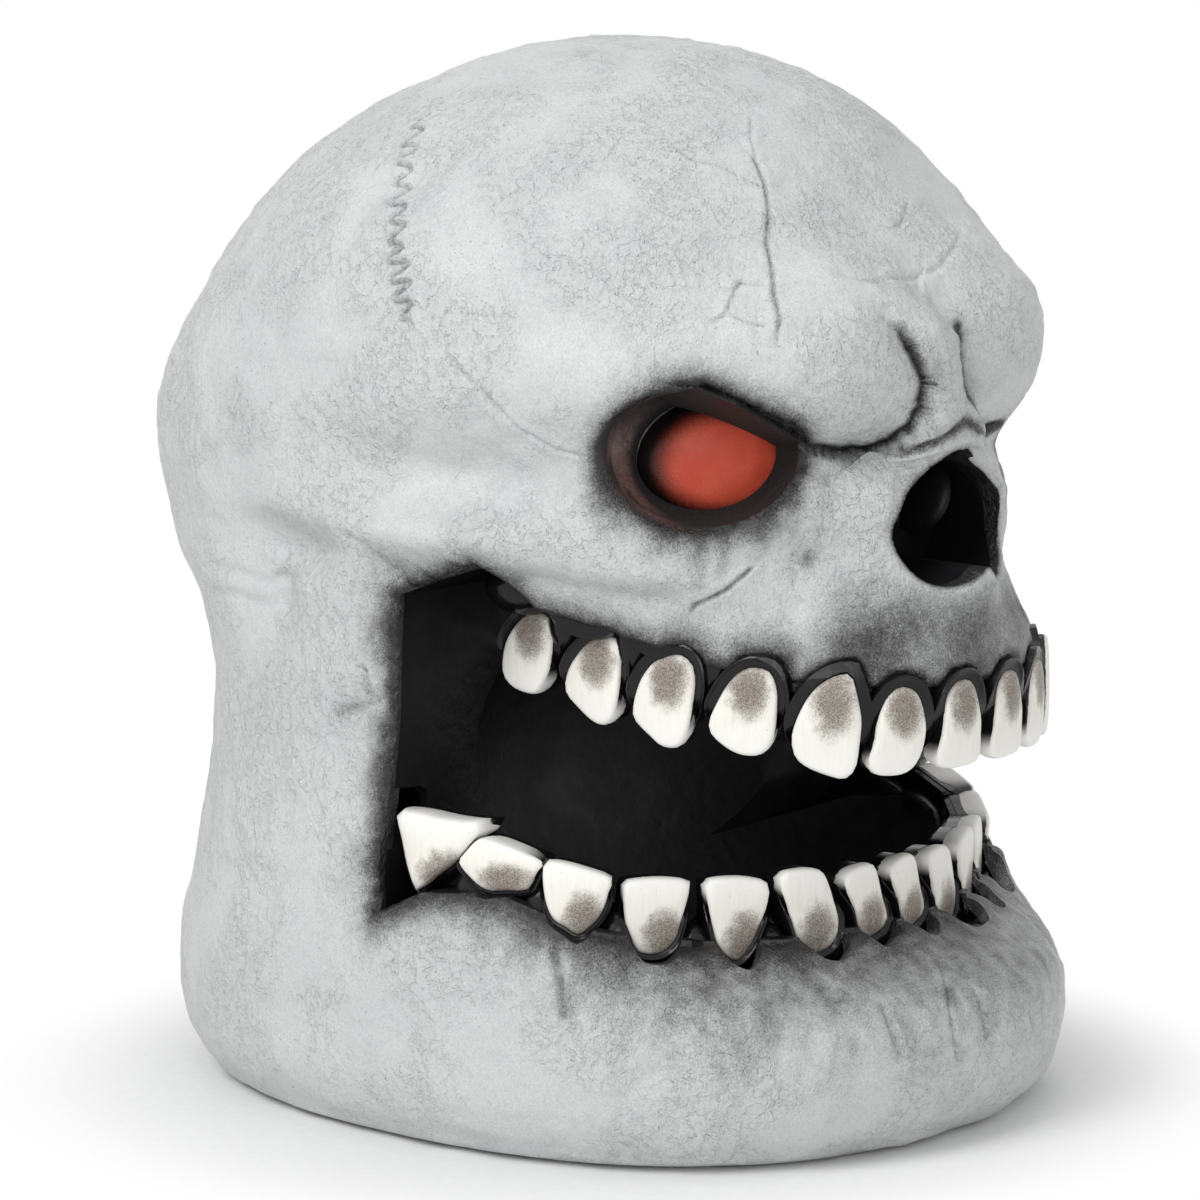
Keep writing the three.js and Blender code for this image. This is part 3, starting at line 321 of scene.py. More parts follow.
def skin(way, sunk=0.0):
    """Points of the head's skin in the directions given, sunk below its surface."""
    drop = np.arccos(np.clip(way[:, 2], -1, 1)) / math.pi
    up, front, back, side, front_side, square_front, square_back = blend_rows(LEVELS, drop).T
    round_ = np.maximum(np.hypot(way[:, 0], way[:, 1]), TINY)
    across, along = way[:, 0] / round_, way[:, 1] / round_
    ahead = smooth(0, SIDE_BLEND_SHARE, -along)
    square = np.where(along < 0, square_front, square_back)
    bulge_x = np.sign(across) * np.abs(across) ** (2 / square)
    bulge_y = np.sign(along) * np.abs(along) ** (2 / square)
    point = np.stack([
        HALF_WIDTH * (side + (front_side - side) * ahead) * bulge_x,
        HALF_DEPTH * np.where(along < 0, front, back) * bulge_y,
        HEIGHT * np.maximum(up, 0),
    ], 1)
    core = np.zeros_like(point)
    core[:, 2] = np.clip(point[:, 2], HEIGHT * CORE_LOW_SHARE, HEIGHT * CORE_HIGH_SHARE)
    out = point - core
    out /= np.maximum(np.linalg.norm(out, axis=1), TINY)[:, None]
    push = np.full(len(point), -float(sunk))
    share = point / HALF
    share[:, 0] = np.abs(share[:, 0])
    for place, spread, full in SWELLS:
        if sunk and full > 0:
            full = full * INSIDE_SWELL_SHARE
        away = ((share - place) / spread) ** 2
        push += HALF_WIDTH * full * np.exp(-away.sum(1))
    point = point + out * push[:, None]
    point[:, 2] = np.maximum(point[:, 2], FLOOR if sunk else 0)
    return point


def places(bm):
    return np.array([v.co for v in bm.verts], float).reshape(-1, 3)


def move_all(bm, points):
    for vert, point in zip(bm.verts, points):
        vert.co = point


def ball(segments, rings, radii, matrix=Matrix.Identity(4)):
    bm = bmesh.new()
    bmesh.ops.create_uvsphere(bm, u_segments=segments, v_segments=rings, radius=1)
    bmesh.ops.transform(bm, matrix=matrix @ Matrix.Diagonal((*radii, 1)), verts=bm.verts)
    return bm


def prism(outline, low, high, axes):
    """An outline pushed through along one axis. axes turns it into the head's space."""
    bm = bmesh.new()
    base = bm.faces.new([bm.verts.new((x, y, low)) for x, y in outline])
    made = bmesh.ops.extrude_face_region(bm, geom=[base])
    raised = [v for v in made["geom"] if isinstance(v, bmesh.types.BMVert)]
    bmesh.ops.translate(bm, vec=(0, 0, high - low), verts=raised)
    bmesh.ops.transform(bm, matrix=axes, verts=bm.verts)
    bmesh.ops.recalc_face_normals(bm, faces=bm.faces)
    return bm


SIDE_VIEW = Matrix(((0, 0, 1, 0), (1, 0, 0, 0), (0, 1, 0, 0), (0, 0, 0, 1)))
FRONT_VIEW = Matrix(((1, 0, 0, 0), (0, 0, -1, 0), (0, 1, 0, 0), (0, 0, 0, 1)))


def tube(radius, x, y, low, high, segments=24):
    bm = bmesh.new()
    place = Matrix.Translation((x, y, (low + high) / 2))
    bmesh.ops.create_cone(
        bm, cap_ends=True, segments=segments, radius1=1, radius2=1, depth=high - low,
        matrix=place @ Matrix.Diagonal((radius[0], radius[1], 1, 1)),
    )
    return bm


def loose(bm, name):
    """A scratch object in the head's own space, for cutting."""
    mesh = bpy.data.meshes.new(name)
    bm.to_mesh(mesh)
    bm.free()
    made = bpy.data.objects.new(name, mesh)
    bpy.context.scene.collection.objects.link(made)
    return made


def carve(body, others, operation="DIFFERENCE"):
    """Joins, cuts or keeps the overlap of a body with each of the others, and returns it."""
    for other in others:
        cut = body.modifiers.new("cut", "BOOLEAN")
        cut.operation = operation
        cut.object = other
        cut.solver = "MANIFOLD"
    bpy.context.view_layer.update()
    done = body.evaluated_get(bpy.context.evaluated_depsgraph_get())
    mesh = bpy.data.meshes.new_from_object(done)
    body.modifiers.clear()
    body.data = mesh
    for other in others:
        bpy.data.objects.remove(other)
    return body


def place_of(share, side=1):
    """A place on one side of the head, from shares of its sizes."""
    return Vector((side * HALF_WIDTH * share[0], HALF_DEPTH * share[1], HEIGHT * share[2]))


def grown(radii, grow):
    return tuple(r + grow for r in radii)


def eye_matrix(share, side):
    return Matrix.Translation(place_of(share, side)) @ Matrix.Rotation(side * EYE_TURN, 4, "Z")


def row(teeth, jaw):
    """One row of teeth, from the far left round the front to the far right."""
    found = []
    for mark, side in SIDES.items():
        one_side = []
        for i, (share, width, height, thickness, drop, outline) in enumerate(teeth):
            middle = place_of(share, side)
            if side > 0:
                middle.z -= drop
            one_side.append({
                "name": f"{mark}{i + 1}", "middle": middle, "width": width, "height": height,
                "thickness": thickness, "outline": outline, "side": side, "number": i + 1,
                "jaw": jaw,
            })
        found.append(one_side)
    all_ = found[1][::-1] + found[0]
    for i, one in enumerate(all_):
        before = all_[max(i - 1, 0)]["middle"]
        after = all_[min(i + 1, len(all_) - 1)]["middle"]
        heading = math.atan2(before.y - after.y, before.x - after.x)
        one["matrix"] = Matrix.Translation(one["middle"]) @ Matrix.Rotation(heading, 4, "Z")
    return all_


upper_row = row(UPPER_TEETH, "upper")
lower_row = row(LOWER_TEETH, "lower")


def round_loop(points, steps):
    """A closed smooth curve through points, with a number of steps from each to the next."""
    points = np.array(points, float)
    n = len(points)
    curve = []
    for i in range(n):
        a, b, c, d = points[i - 1], points[i], points[(i + 1) % n], points[(i + 2) % n]
        for t in np.linspace(0, 1, steps, endpoint=False):
            curve.append(b + t * (c - a) / 2 + t * t * (a - 2.5 * b + 2 * c - d / 2)
                         + t ** 3 * (-a / 2 + 1.5 * b - 1.5 * c + d / 2))
    return curve


def round_outline(points, count):
    """A closed smooth curve through points, as a radius for each of a number of angles."""
    curve = np.array(round_loop(points, 8))
    angles = np.arctan2(curve[:, 1], curve[:, 0])
    order = np.argsort(angles)
    wanted = np.linspace(-math.pi, math.pi, count, endpoint=False)
    return np.interp(wanted, angles[order], np.hypot(*curve[order].T), period=2 * math.pi)


TOOTH_SEGMENTS = 36
TOOTH_RINGS = 26
OUTLINE_STEPS = 180
# Over the polar angle from the middle of the face: share of the outline, and depth in halves.
TOOTH_PROFILE_ANGLES = np.radians([0, 40, 66, 78, 88, 98, 110, 150, 180])
TOOTH_PROFILE_SPREAD = np.array([0, 0.62, 0.88, 0.965, 1.0, 1.01, 1.0, 0.9, 0])
TOOTH_PROFILE_DEPTH = np.array([-1.1, -1.04, -0.95, -0.86, -0.7, -0.45, -0.1, 0.85, 1.0])


def outline_of(one):
    """The tooth's outline from outside, mirrored on the left but for its two front teeth."""
    if one["side"] > 0 and one["number"] > 2:
        return [(-x, y) for x, y in one["outline"]][::-1]
    return one["outline"]


def turned_ball(one, segments, rings):
    """A ball that faces out of a tooth: its mesh, and for each point the angle from the middle of
    the face, the angle round it, and the outline's reach that way."""
    turn = Matrix.Rotation(math.pi / 2, 4, "X")
    bm = ball(segments, rings, (1, 1, 1), turn)
    radii = round_outline(outline_of(one), OUTLINE_STEPS)
    angles = np.linspace(-math.pi, math.pi, OUTLINE_STEPS, endpoint=False)
    way = places(bm)
    polar = np.arccos(np.clip(-way[:, 1], -1, 1))
    around = np.arctan2(way[:, 2], way[:, 0])
    return bm, polar, around, np.interp(around, angles, radii, period=2 * math.pi)


def tooth_shape(one, grow=0.0, deep=None):
    """A tooth as a rounded slab with its painted face outwards, in its own place."""
    bm, polar, around, reach = turned_ball(one, TOOTH_SEGMENTS, TOOTH_RINGS)
    spread = np.interp(polar, TOOTH_PROFILE_ANGLES, TOOTH_PROFILE_SPREAD) * reach
    depth = np.interp(polar, TOOTH_PROFILE_ANGLES, TOOTH_PROFILE_DEPTH)
    half_w, half_h = one["width"] / 2 + grow, one["height"] / 2 + grow
    half_t = one["thickness"] / 2 if deep is None else deep / 2
    point = np.stack([
        np.cos(around) * spread * half_w, depth * half_t, np.sin(around) * spread * half_h,
    ], 1)
    move_all(bm, point)
    bmesh.ops.transform(bm, matrix=one["matrix"], verts=bm.verts)
    return bm, polar, point / (half_w, half_t, half_h)


def polygon_distance(points, polygon):
    """The distance of flat points to a polygon's edge, below zero inside."""
    polygon = np.array(polygon, float)
    best = np.full(len(points), np.inf)
    inside = np.zeros(len(points), bool)
    for a, b in zip(polygon, np.roll(polygon, -1, 0)):
        edge = b - a
        t = np.clip(((points - a) @ edge) / (edge @ edge), 0, 1)
        best = np.minimum(best, np.linalg.norm(points - a - t[:, None] * edge, axis=1))
        crosses = (a[1] > points[:, 1]) != (b[1] > points[:, 1])
        at = a[0] + (points[:, 1] - a[1]) / (edge[1] or TINY) * edge[0]
        inside ^= crosses & (points[:, 0] < at)
    return np.where(inside, -best, best)


def mouth_distance(points):
    """How far points of the skin lie from the mouth opening, scallops and all."""
    window = [(HALF_DEPTH * y, HEIGHT * z) for y, z in MOUTH]
    best = polygon_distance(points[:, 1:], window)
    for one in upper_row + lower_row:
        middle = np.array(one["middle"])
        near = np.linalg.norm(points - middle, axis=1) < NEAR_TOOTH
        if not near.any():
            continue
        local = (points[near] - middle) @ np.array(one["matrix"].to_3x3())
        spare = SCALLOP[one["jaw"]]
        ring = np.array(outline_of(one)) * (one["width"] / 2 + spare, one["height"] / 2 + spare)
        apart = polygon_distance(local[:, (0, 2)], ring)
        ahead = -local[:, 1] - AHEAD_OF_TOOTH
        if one["jaw"] == "lower":
            apart = np.where(ahead > 0, np.hypot(np.maximum(apart, 0), ahead), apart)
        apart = np.where(np.abs(local[:, 1]) < SCALLOP_DEPTH[one["jaw"]] / 2, apart, FAR)
        best[near] = np.minimum(best[near], apart)
    return best


def nose_outline():
    half = [(HALF_WIDTH * x, HEIGHT * z) for x, z in NOSE]
    return round_loop(half + [(-x, z) for x, z in half[-2:0:-1]], 4)


def nose_distance(points):
    apart = polygon_distance(points[:, (0, 2)], nose_outline())
    return np.where(points[:, 1] < BEHIND_NOSE - HALF_DEPTH * NOSE_BACK, apart, FAR)


def eye_local(points, share, side):
    """Points in the turned space of an eye or its socket."""
    inverse = np.array(eye_matrix(share, side).inverted())
    return points @ inverse[:3, :3].T + inverse[:3, 3]


def lens_grade(local):
    """How far out points lie from the middle of an eye, 1 at the rim of its lens."""
    return np.hypot(local[:, 0] / LENS_RADII[0], local[:, 2] / LENS_RADII[2])


def above_lid(points):
    """How far points lie above the lid over the eye on their side."""
    above = np.full(len(points), -FAR)
    for side in SIDES.values():
        spot, way = lid_plane(side)
        higher = (points - np.array(spot)) @ np.array(way)
        above = np.where(points[:, 0] * side > 0, higher, above)
    return above


def socket_distance(points):
    """How far points lie from the hollow of a socket, below zero inside."""
    best = np.full(len(points), FAR)
    for side in SIDES.values():
        local = eye_local(points, SOCKET, side)
        grade = np.linalg.norm(local / SOCKET_RADII, axis=1)
        slope = np.linalg.norm(local / np.square(SOCKET_RADII), axis=1) / np.maximum(grade, TINY)
        best = np.minimum(best, (grade - 1) / np.maximum(slope, TINY))
    return np.maximum(best, above_lid(points))


def line_distance(points, line):
    """The distance of points to a line through stations, and the share along it of the nearest."""
    line = np.array(line, float)
    best = np.full(len(points), np.inf)
    share = np.zeros(len(points))
    count = len(line) - 1
    for i, (a, b) in enumerate(zip(line, line[1:])):
        edge = b - a
        t = np.clip(((points - a) @ edge) / max(edge @ edge, TINY), 0, 1)
        apart = np.linalg.norm(points - a - t[:, None] * edge, axis=1)
        nearer = apart < best
        best = np.where(nearer, apart, best)
        share = np.where(nearer, (i + t) / count, share)
    return best, share


def beside(points, line, start, end):
    """The distance of points to a line, and how it fades out over shares of it at both ends."""
    apart, share = line_distance(points, line)
    return apart, smooth(0, start, share) * smooth(0, end, 1 - share)


# Marks in the surface, by the photograph's pixels: the line, its half width and depth in
# millimetres, and how dark it is painted. Cracks are sharp, and on this side only.
CRACKS = [
    ([(748, 150), (759, 167), (766, 189), (769, 218), (767, 244), (772, 266), (774, 295),
      (780, 317), (777, 346)], 1.3, 1.2, 0.5),
    ([(759, 167), (751, 140), (751, 113)], 0.9, 0.7, 0.3),
    ([(766, 189), (725, 170), (690, 158), (665, 143)], 0.8, 0.6, 0.3),
    ([(708, 323), (726, 314), (739, 282), (764, 285)], 1.1, 1.0, 0.3),
    ([(767, 327), (745, 322), (726, 314)], 1.0, 0.8, 0.3),
    ([(834, 274), (872, 283), (911, 280), (939, 269), (957, 244), (963, 221)], 1.6, 0.8, 0.2),
    ([(908, 202), (898, 234)], 0.9, 0.5, 0.25),
    ([(445, 350), (470, 380), (520, 430), (555, 450), (600, 462)], 1.2, 0.8, 0.25),
    ([(754, 565), (724, 591), (695, 606), (688, 618)], 1.3, 1.3, 0.55),
    ([(552, 945), (561, 983), (564, 1024)], 2.2, 2.2, 0.5),
    ([(884, 1004), (893, 1032), (902, 1060)], 2.2, 2.4, 0.35),
    ([(940, 958), (948, 990), (953, 1030), (959, 1068)], 1.5, 1.6, 0.4),
    ([(976, 990), (983, 1012), (990, 1042)], 2.0, 2.2, 0.45),
    ([(903, 362), (907, 378), (905, 392)], 1.0, 0.8, 0.25),
]
SUTURE = [(432, 100), (415, 135), (405, 170), (398, 210), (395, 250), (400, 290), (408, 330)]
TRACE_STEP = 1.5
SUTURE_TURNS = 24
STEPS_A_TURN = 6
SUTURE_SWING = 5.0
SUTURE_MARK = (1.3, 2.0, 0.4)
# The edge of the brow over the eye.
LID = ((700, 388), (818, 452))
# Round dimples: the middle, the radius, the depth and the paint, which is painted shade in the
# dimple.
PITS = [
    ((808, 560), 4.2, 1.6, 0.5), ((770, 1049), 6.5, 2.4, 0.14), ((654, 1077), 5.0, 1.5, 0.08),
]
# Folds: the skin swells up in a round edge on one side of the line and dips on the other. The
# line, the height, the edge's radius, how far the swelling reaches, the dip and the paint.
# The paint of a fold is black paint and painted shade in the dip under its round edge.
FOLDS = [
    ([(872, 312), (897, 330), (909, 352), (917, 380), (915, 402), (905, 422), (889, 437),
      (868, 448), (838, 452), (812, 449), (788, 438), (764, 421), (735, 402), (705, 390),
      (672, 386), (640, 392)], 8.0, 8.0, 34.0, 2.0, 0.75),
]
FOLD_ENDS = (0.16, 0.3)
# Where the far fold runs in the photograph, before it follows the near one on the other side.
FAR_FOLD = [(960, 318), (955, 345), (954, 368), (959, 390), (967, 410)]
FAR_FOLD_FROM = (868, 448)
FAR_FOLD_OVERLAP = 4
# Soft dips, on both sides of the head. Their paint is painted shade in the dip.
CREASES = [
    ([(361, 664), (363, 685), (367, 702)], 3.0, 2.4, 0.4),
    ([(330, 713), (352, 709), (368, 702), (392, 697)], 3.2, 2.8, 0.45),
    ([(332, 526), (355, 546), (388, 571), (418, 577)], 4.0, 2.4, 0.1),
    ([(279, 566), (285, 590), (283, 618)], 5.5, 3.4, 0.2),
    ([(196, 566), (238, 573), (280, 588)], 3.0, 1.6, 0.08),
    ([(203, 590), (243, 598), (280, 610)], 3.0, 1.6, 0.1),
    ([(886, 604), (884, 630), (878, 655)], 3.0, 1.6, 0.25),
    ([(800, 596), (790, 625), (783, 648)], 6.0, 1.5, 0.1),
    ([(490, 578), (569, 590), (610, 596), (661, 600), (700, 620)], 6.0, 2.4, 0.28),
]
# Between the brows, and on this side only. Their paint is painted shade in the dip, as for the
# creases.
FROWN = [
    ([(955, 318), (949, 345), (948, 368), (954, 392), (963, 412)], 3.4, 2.6, 0.95),
    ([(893, 437), (915, 429), (940, 425), (962, 427)], 2.8, 2.2, 0.85),
]


def plain_skin(sunk=0, subdivisions=6):
    """The head's skin without its relief, sunk below its surface."""
    bm = bmesh.new()
    bmesh.ops.create_icosphere(bm, subdivisions=subdivisions, radius=1)
    move_all(bm, skin(places(bm), sunk))
    return bm


skin_tree = BVHTree.FromBMesh(plain_skin())
hollow_tree = BVHTree.FromBMesh(plain_skin(DEEP_WALL))


def on_skin(x, y):
    """The place on the skin that a pixel of the photograph shows."""
    start, way = pixel_ray(x, y)
    hit = skin_tree.ray_cast(start, way)[0]
    if hit is None:
        hit = skin_tree.find_nearest(start + way * DISTANCE)[0]
    return hit


def traced(pixels):
    """A line on the skin through pixels of the photograph, in even short steps."""
    spots = []
    for (x0, y0), (x1, y1) in zip(pixels, pixels[1:]):
        count = max(2, int(math.hypot(x1 - x0, y1 - y0) / PIXELS_PER_MM / TRACE_STEP))
        for i in range(count):
            spots.append(on_skin(x0 + (x1 - x0) * i / count, y0 + (y1 - y0) * i / count))
    spots.append(on_skin(*pixels[-1]))
    return spots


def zigzag(line, turns, swing):
    """A line that swings to both sides of another in rounded steps."""
    line = np.array(line)
    count = turns * STEPS_A_TURN
    at = np.linspace(0, len(line) - 1, count)
    base = np.stack([np.interp(at, range(len(line)), line[:, k]) for k in range(3)], 1)
    along = np.gradient(base, axis=0)
    out = base / (HALF_WIDTH, HALF_DEPTH, HEIGHT)
    side = np.cross(along, out)
    side /= np.linalg.norm(side, axis=1)[:, None]
    wave = np.sin(np.linspace(0, turns * math.pi, count))
    wave = np.sign(wave) * np.abs(wave) ** 0.6
    uneven = np.array([0.7 + 0.5 * noise.noise(Vector((i * 0.21, 3.1, 0.4))) for i in range(count)])
    fade = smooth(0, 0.15, np.linspace(0, 1, count)) * smooth(0, 0.08, np.linspace(1, 0, count))
    return [Vector(p) for p in base + side * (wave * uneven * fade * swing)[:, None]]


def mirrored(line):
    return [Vector((-p.x, p.y, p.z)) for p in line]


def traced_marks(marks):
    return [(traced(pixels), *rest) for pixels, *rest in marks]


cracks = traced_marks(CRACKS)
suture = zigzag(traced(SUTURE), SUTURE_TURNS, SUTURE_SWING)
cracks += [(suture, *SUTURE_MARK), (mirrored(suture), *SUTURE_MARK)]
folds = traced_marks(FOLDS)
below_brow = on_skin(*FAR_FOLD_FROM).z + FAR_FOLD_OVERLAP
far = [p for p in mirrored(folds[0][0]) if p.z < below_brow]
folds.append((traced(FAR_FOLD) + far, *folds[0][1:]))
creases = traced_marks(CREASES)
creases += [(mirrored(line), *rest) for line, *rest in creases]
creases += traced_marks(FROWN)
pits = [(on_skin(*pixel), *rest) for pixel, *rest in PITS]


def wander(points, size, seed):
    """Smooth random numbers over points, for lumps of a size."""
    offset = Vector((seed * 17.3, seed * 5.9, seed * 3.1))
    return np.array([noise.noise(Vector(p) / size + offset) for p in points])


def near_lines(points, marks, reach):
    """Which points lie within reach of the lines of some marks."""
    spots = [spot for line, *_ in marks for spot in line]
    tree = KDTree(len(spots))
    for i, spot in enumerate(spots):
        tree.insert(spot, i)
    tree.balance()
    return np.array([tree.find(p)[2] < reach for p in points])


def split_near(bm, close):
    """Halves the edges of a ball whose ends on the skin are both marked close."""
    marks = close(skin(places(bm)))
    bm.verts.index_update()
    edges = [e for e in bm.edges if marks[e.verts[0].index] and marks[e.verts[1].index]]
    bmesh.ops.subdivide_edges(bm, edges=edges, cuts=1, use_grid_fill=True)
    for vert in bm.verts:
        vert.co.normalize()


def rounded_edge(apart, radius):
    """How far the skin sinks near an opening, so that its edge is round."""
    left = np.clip(1 - apart / radius, 0, 0.98)
    return radius * (1 - np.sqrt(1 - left * left))


def fold_rise(points, normals, line, height, radius, reach, dip):
    """A round edge along a line: the skin swells on one side of it and dips on the other."""
    apart, share = line_distance(points, line)
    spots = np.array([tuple(p) for p in line])
    at = np.clip((share * (len(line) - 1)).astype(int), 0, len(line) - 2)
    along = spots[np.minimum(at + 2, len(line) - 1)] - spots[np.maximum(at - 2, 0)]
    mirror = -1 if spots[:, 0].mean() > 0 else 1
    proud = ((points - spots[at]) * np.cross(normals, along)).sum(1) * mirror > 0
    taper = smooth(0, FOLD_ENDS[0], share) * smooth(0, FOLD_ENDS[1], 1 - share)
    edge = np.sqrt(1 - (1 - np.clip(apart / radius, 0, 1)) ** 2)
    swell = height * edge * fade(apart, reach)
    hollow = -dip * fade(apart, radius)
    return taper * np.where(proud, swell, hollow)


# Lumps of the skin: height, size in millimetres, and seed.
WIDE_LUMPS = [(1.1, 26, 1)]
FINE_LUMPS = [(0.75, 9, 2), (0.45, 5.5, 3)]
GROOVES = (0.55, 13, 4)
GROOVE_WIDTH = 0.06
MOUTH_LUMPS = [(2.0, 6, 9), (1.2, 3, 5)]
MOUTH_LUMPS_REACH = 16
# Size and seed of the unevenness of the sprayed paint.
PATCHES = (20, 8)
STREAKS = (6, 7)
# How far the rounding of each edge reaches, and how much further at the lower lip.
MOUTH_EDGE = 2.6
LOWER_LIP_EDGE = 2.2
NOSE_EDGE = 2.6
SOCKET_EDGE = 5.5
# How far from a line, an edge or a crease the mesh is split, and how near a line once more.
SPLIT_LINES = 7
SPLIT_EDGES = 7
SPLIT_CREASES = 6
SPLIT_AGAIN = 3.2
# The underside stays flat up to this height.
FLAT_HEIGHT = 3


def lumps(points, kinds):
    """The sum of some kinds of lumps."""
    return sum(height * wander(points, size, seed) for height, size, seed in kinds)


def lump_rise(points, mouth):
    """Lumps and grooves: stronger on the cranium and the chin, and knobbly round the mouth."""
    _, along, up = points.T
    rough = 0.55 + 0.45 * smooth(215, 265, up) + 0.4 * smooth(85, 55, up) * smooth(0, -60, along)
    deep, size, seed = GROOVES
    grooves = deep * fade(wander(points * (1, 1, 0.8), size, seed), GROOVE_WIDTH)
    rise = lumps(points, WIDE_LUMPS) + rough * (lumps(points, FINE_LUMPS) - grooves)
    rise[up < 1] = 0
    knobbly = fade(mouth, MOUTH_LUMPS_REACH) * smooth(-55, -25, along) * smooth(60, 80, up)
    return rise + knobbly * lumps(points, MOUTH_LUMPS)


def mark_rise(points, normals):
    """What the cracks, creases, folds and pits add to the skin."""
    rise = np.zeros(len(points))
    for line, half, depth, _ in cracks:
        apart, taper = beside(points, line, 0.08, 0.12)
        rise -= depth * (0.35 + 0.65 * taper) * np.clip(1 - apart / half, 0, 1)
        rise += 0.25 * depth * taper * fade(apart - 1.6 * half, half)
    for line, half, depth, _ in creases:
        apart, taper = beside(points, line, 0.2, 0.2)
        rise -= depth * taper * fade(apart, half)
    for *shape, _ in folds:
        rise += fold_rise(points, normals, *shape)
    for spot, half, depth, _ in pits:
        apart = np.linalg.norm(points - np.array(spot), axis=1)
        rise -= depth * fade(apart, half, 4)
    return rise


def near_edges(points):
    """What needs a finer mesh: the edges of the openings and the marks."""
    apart = np.abs([mouth_distance(points), nose_distance(points), socket_distance(points)]).min(0)
    near = (apart < SPLIT_EDGES) | near_lines(points, cracks + folds, SPLIT_LINES)
    return near | near_lines(points, creases, SPLIT_CREASES)


def near_marks(points):
    return near_lines(points, cracks + folds, SPLIT_AGAIN)


def outer_skin():
    """The outside of the head with its relief and with sunken rims round its openings."""
    bm = bmesh.new()
    bmesh.ops.create_icosphere(bm, subdivisions=7, radius=1)
    split_near(bm, near_edges)
    split_near(bm, near_marks)
    bmesh.ops.triangulate(bm, faces=bm.faces)
    points = skin(places(bm))
    move_all(bm, points)
    bm.normal_update()
    normals = np.array([v.normal for v in bm.verts])
    mouth = mouth_distance(points)
    rise = lump_rise(points, mouth) + mark_rise(points, normals)
    lower_lip = smooth(105, 90, points[:, 2]) * smooth(-30, -70, points[:, 1])
    rise -= rounded_edge(mouth, MOUTH_EDGE + LOWER_LIP_EDGE * lower_lip)
    rise -= rounded_edge(nose_distance(points), NOSE_EDGE)
    rise -= rounded_edge(socket_distance(points), SOCKET_EDGE)
    flat = points[:, 2] < FLAT_HEIGHT
    rise[flat] = np.minimum(rise[flat], 0) * (points[flat, 2] / FLAT_HEIGHT)
    points = points + normals * rise[:, None]
    front, back = (end[1] / MM - SHIFT.y for end in cad_box)
    low, high = (-HALF_WIDTH, front, 0), (HALF_WIDTH, back, HEIGHT)
    move_all(bm, np.clip(points, low, high))
    return bm


def room(sunk):
    """A scratch body of all that lies deeper below the skin than it is sunk."""
    return loose(plain_skin(sunk), "room")


def inflated(outline, grow):
    """A closed outline moved outwards, with its corners kept sharp but for the sharpest."""
    points = np.array(outline, float)
    x, y = points.T
    area = np.sum(x * np.roll(y, -1) - np.roll(x, -1) * y)
    into = points - np.roll(points, 1, 0)
    into /= np.linalg.norm(into, axis=1)[:, None]
    leave = np.roll(into, -1, 0)
    normal = np.stack([into[:, 1] + leave[:, 1], -into[:, 0] - leave[:, 0]], 1)
    normal /= np.linalg.norm(normal, axis=1)[:, None]
    miter = np.maximum(normal[:, 0] * into[:, 1] - normal[:, 1] * into[:, 0], 0.5)
    return points + normal * (math.copysign(grow, area) / miter)[:, None]


def window_cut(grow):
    outline = inflated([(HALF_DEPTH * y, HEIGHT * z) for y, z in MOUTH], grow)
    reach = HALF_WIDTH + OVERRUN
    return loose(prism(outline, -reach, reach, SIDE_VIEW), "window")


def bowl_cut(grow):
    radii = [HALF_WIDTH * BOWL_RADII[0], HALF_DEPTH * BOWL_RADII[1], HEIGHT * BOWL_RADII[2]]
    return loose(ball(64, 40, grown(radii, grow), Matrix.Translation(place_of(BOWL))), "bowl")


def nose_cut(grow, back):
    outline = inflated(nose_outline(), grow)
    return loose(prism(outline, back, HALF_DEPTH + OVERRUN, FRONT_VIEW), "nose")


def lid_plane(side):
    """A place on the lid's edge and the upward way across it, for the right eye or the left."""
    start, end = (on_skin(*pixel) for pixel in LID)
    across = (end - start).cross(Vector((0, 1, 0)))
    across *= math.copysign(1, across.z)
    flip = Vector((-side, 1, 1))
    return (start + end) / 2 * flip, across.normalized() * flip


def socket_cut(side, grow):
    """The hollow of an eye socket, cut off above by the lid of the brow."""
    bm = ball(56, 36, grown(SOCKET_RADII, grow), eye_matrix(SOCKET, side))
    spot, way = lid_plane(side)
    cut = bmesh.ops.bisect_plane(
        bm, geom=bm.verts[:] + bm.edges[:] + bm.faces[:], plane_co=spot + way * grow, plane_no=way,
        clear_outer=True,
    )
    rim = [e for e in cut["geom_cut"] if isinstance(e, bmesh.types.BMEdge)]
    bmesh.ops.contextual_create(bm, geom=rim)
    return loose(bm, "socket")


def lens_hole_cuts(side):
    """The room for a lens in the bone, and the way out of it into the head."""
    place = eye_matrix(EYE, side)
    bed = ball(48, 32, grown(LENS_RADII, GAP), place)
    stem = bmesh.new()
    place = place @ Matrix.Translation((0, OVERRUN / 2, 0)) @ Matrix.Rotation(math.pi / 2, 4, "X")
    bmesh.ops.create_cone(
        stem, cap_ends=True, segments=48, radius1=1, radius2=1, depth=OVERRUN,
        matrix=place @ Matrix.Diagonal((LENS_RADII[0] + GAP, LENS_RADII[2] + GAP, 1, 1)),
    )
    return [loose(bed, "lens_room"), loose(stem, "lens_stem")]


def scallop_cut(one):
    bm, _, _ = tooth_shape(one, SCALLOP[one["jaw"]], SCALLOP_DEPTH[one["jaw"]])
    return loose(bm, "scallop")


screw_places = [
    (sx * (PLATE_RADII[0] + HATCH_RADII[0]) / 2 * math.sqrt(0.5),
     sy * (PLATE_RADII[1] + HATCH_RADII[1]) / 2 * math.sqrt(0.5))
    for sx in (-1, 1) for sy in (-1, 1)
]


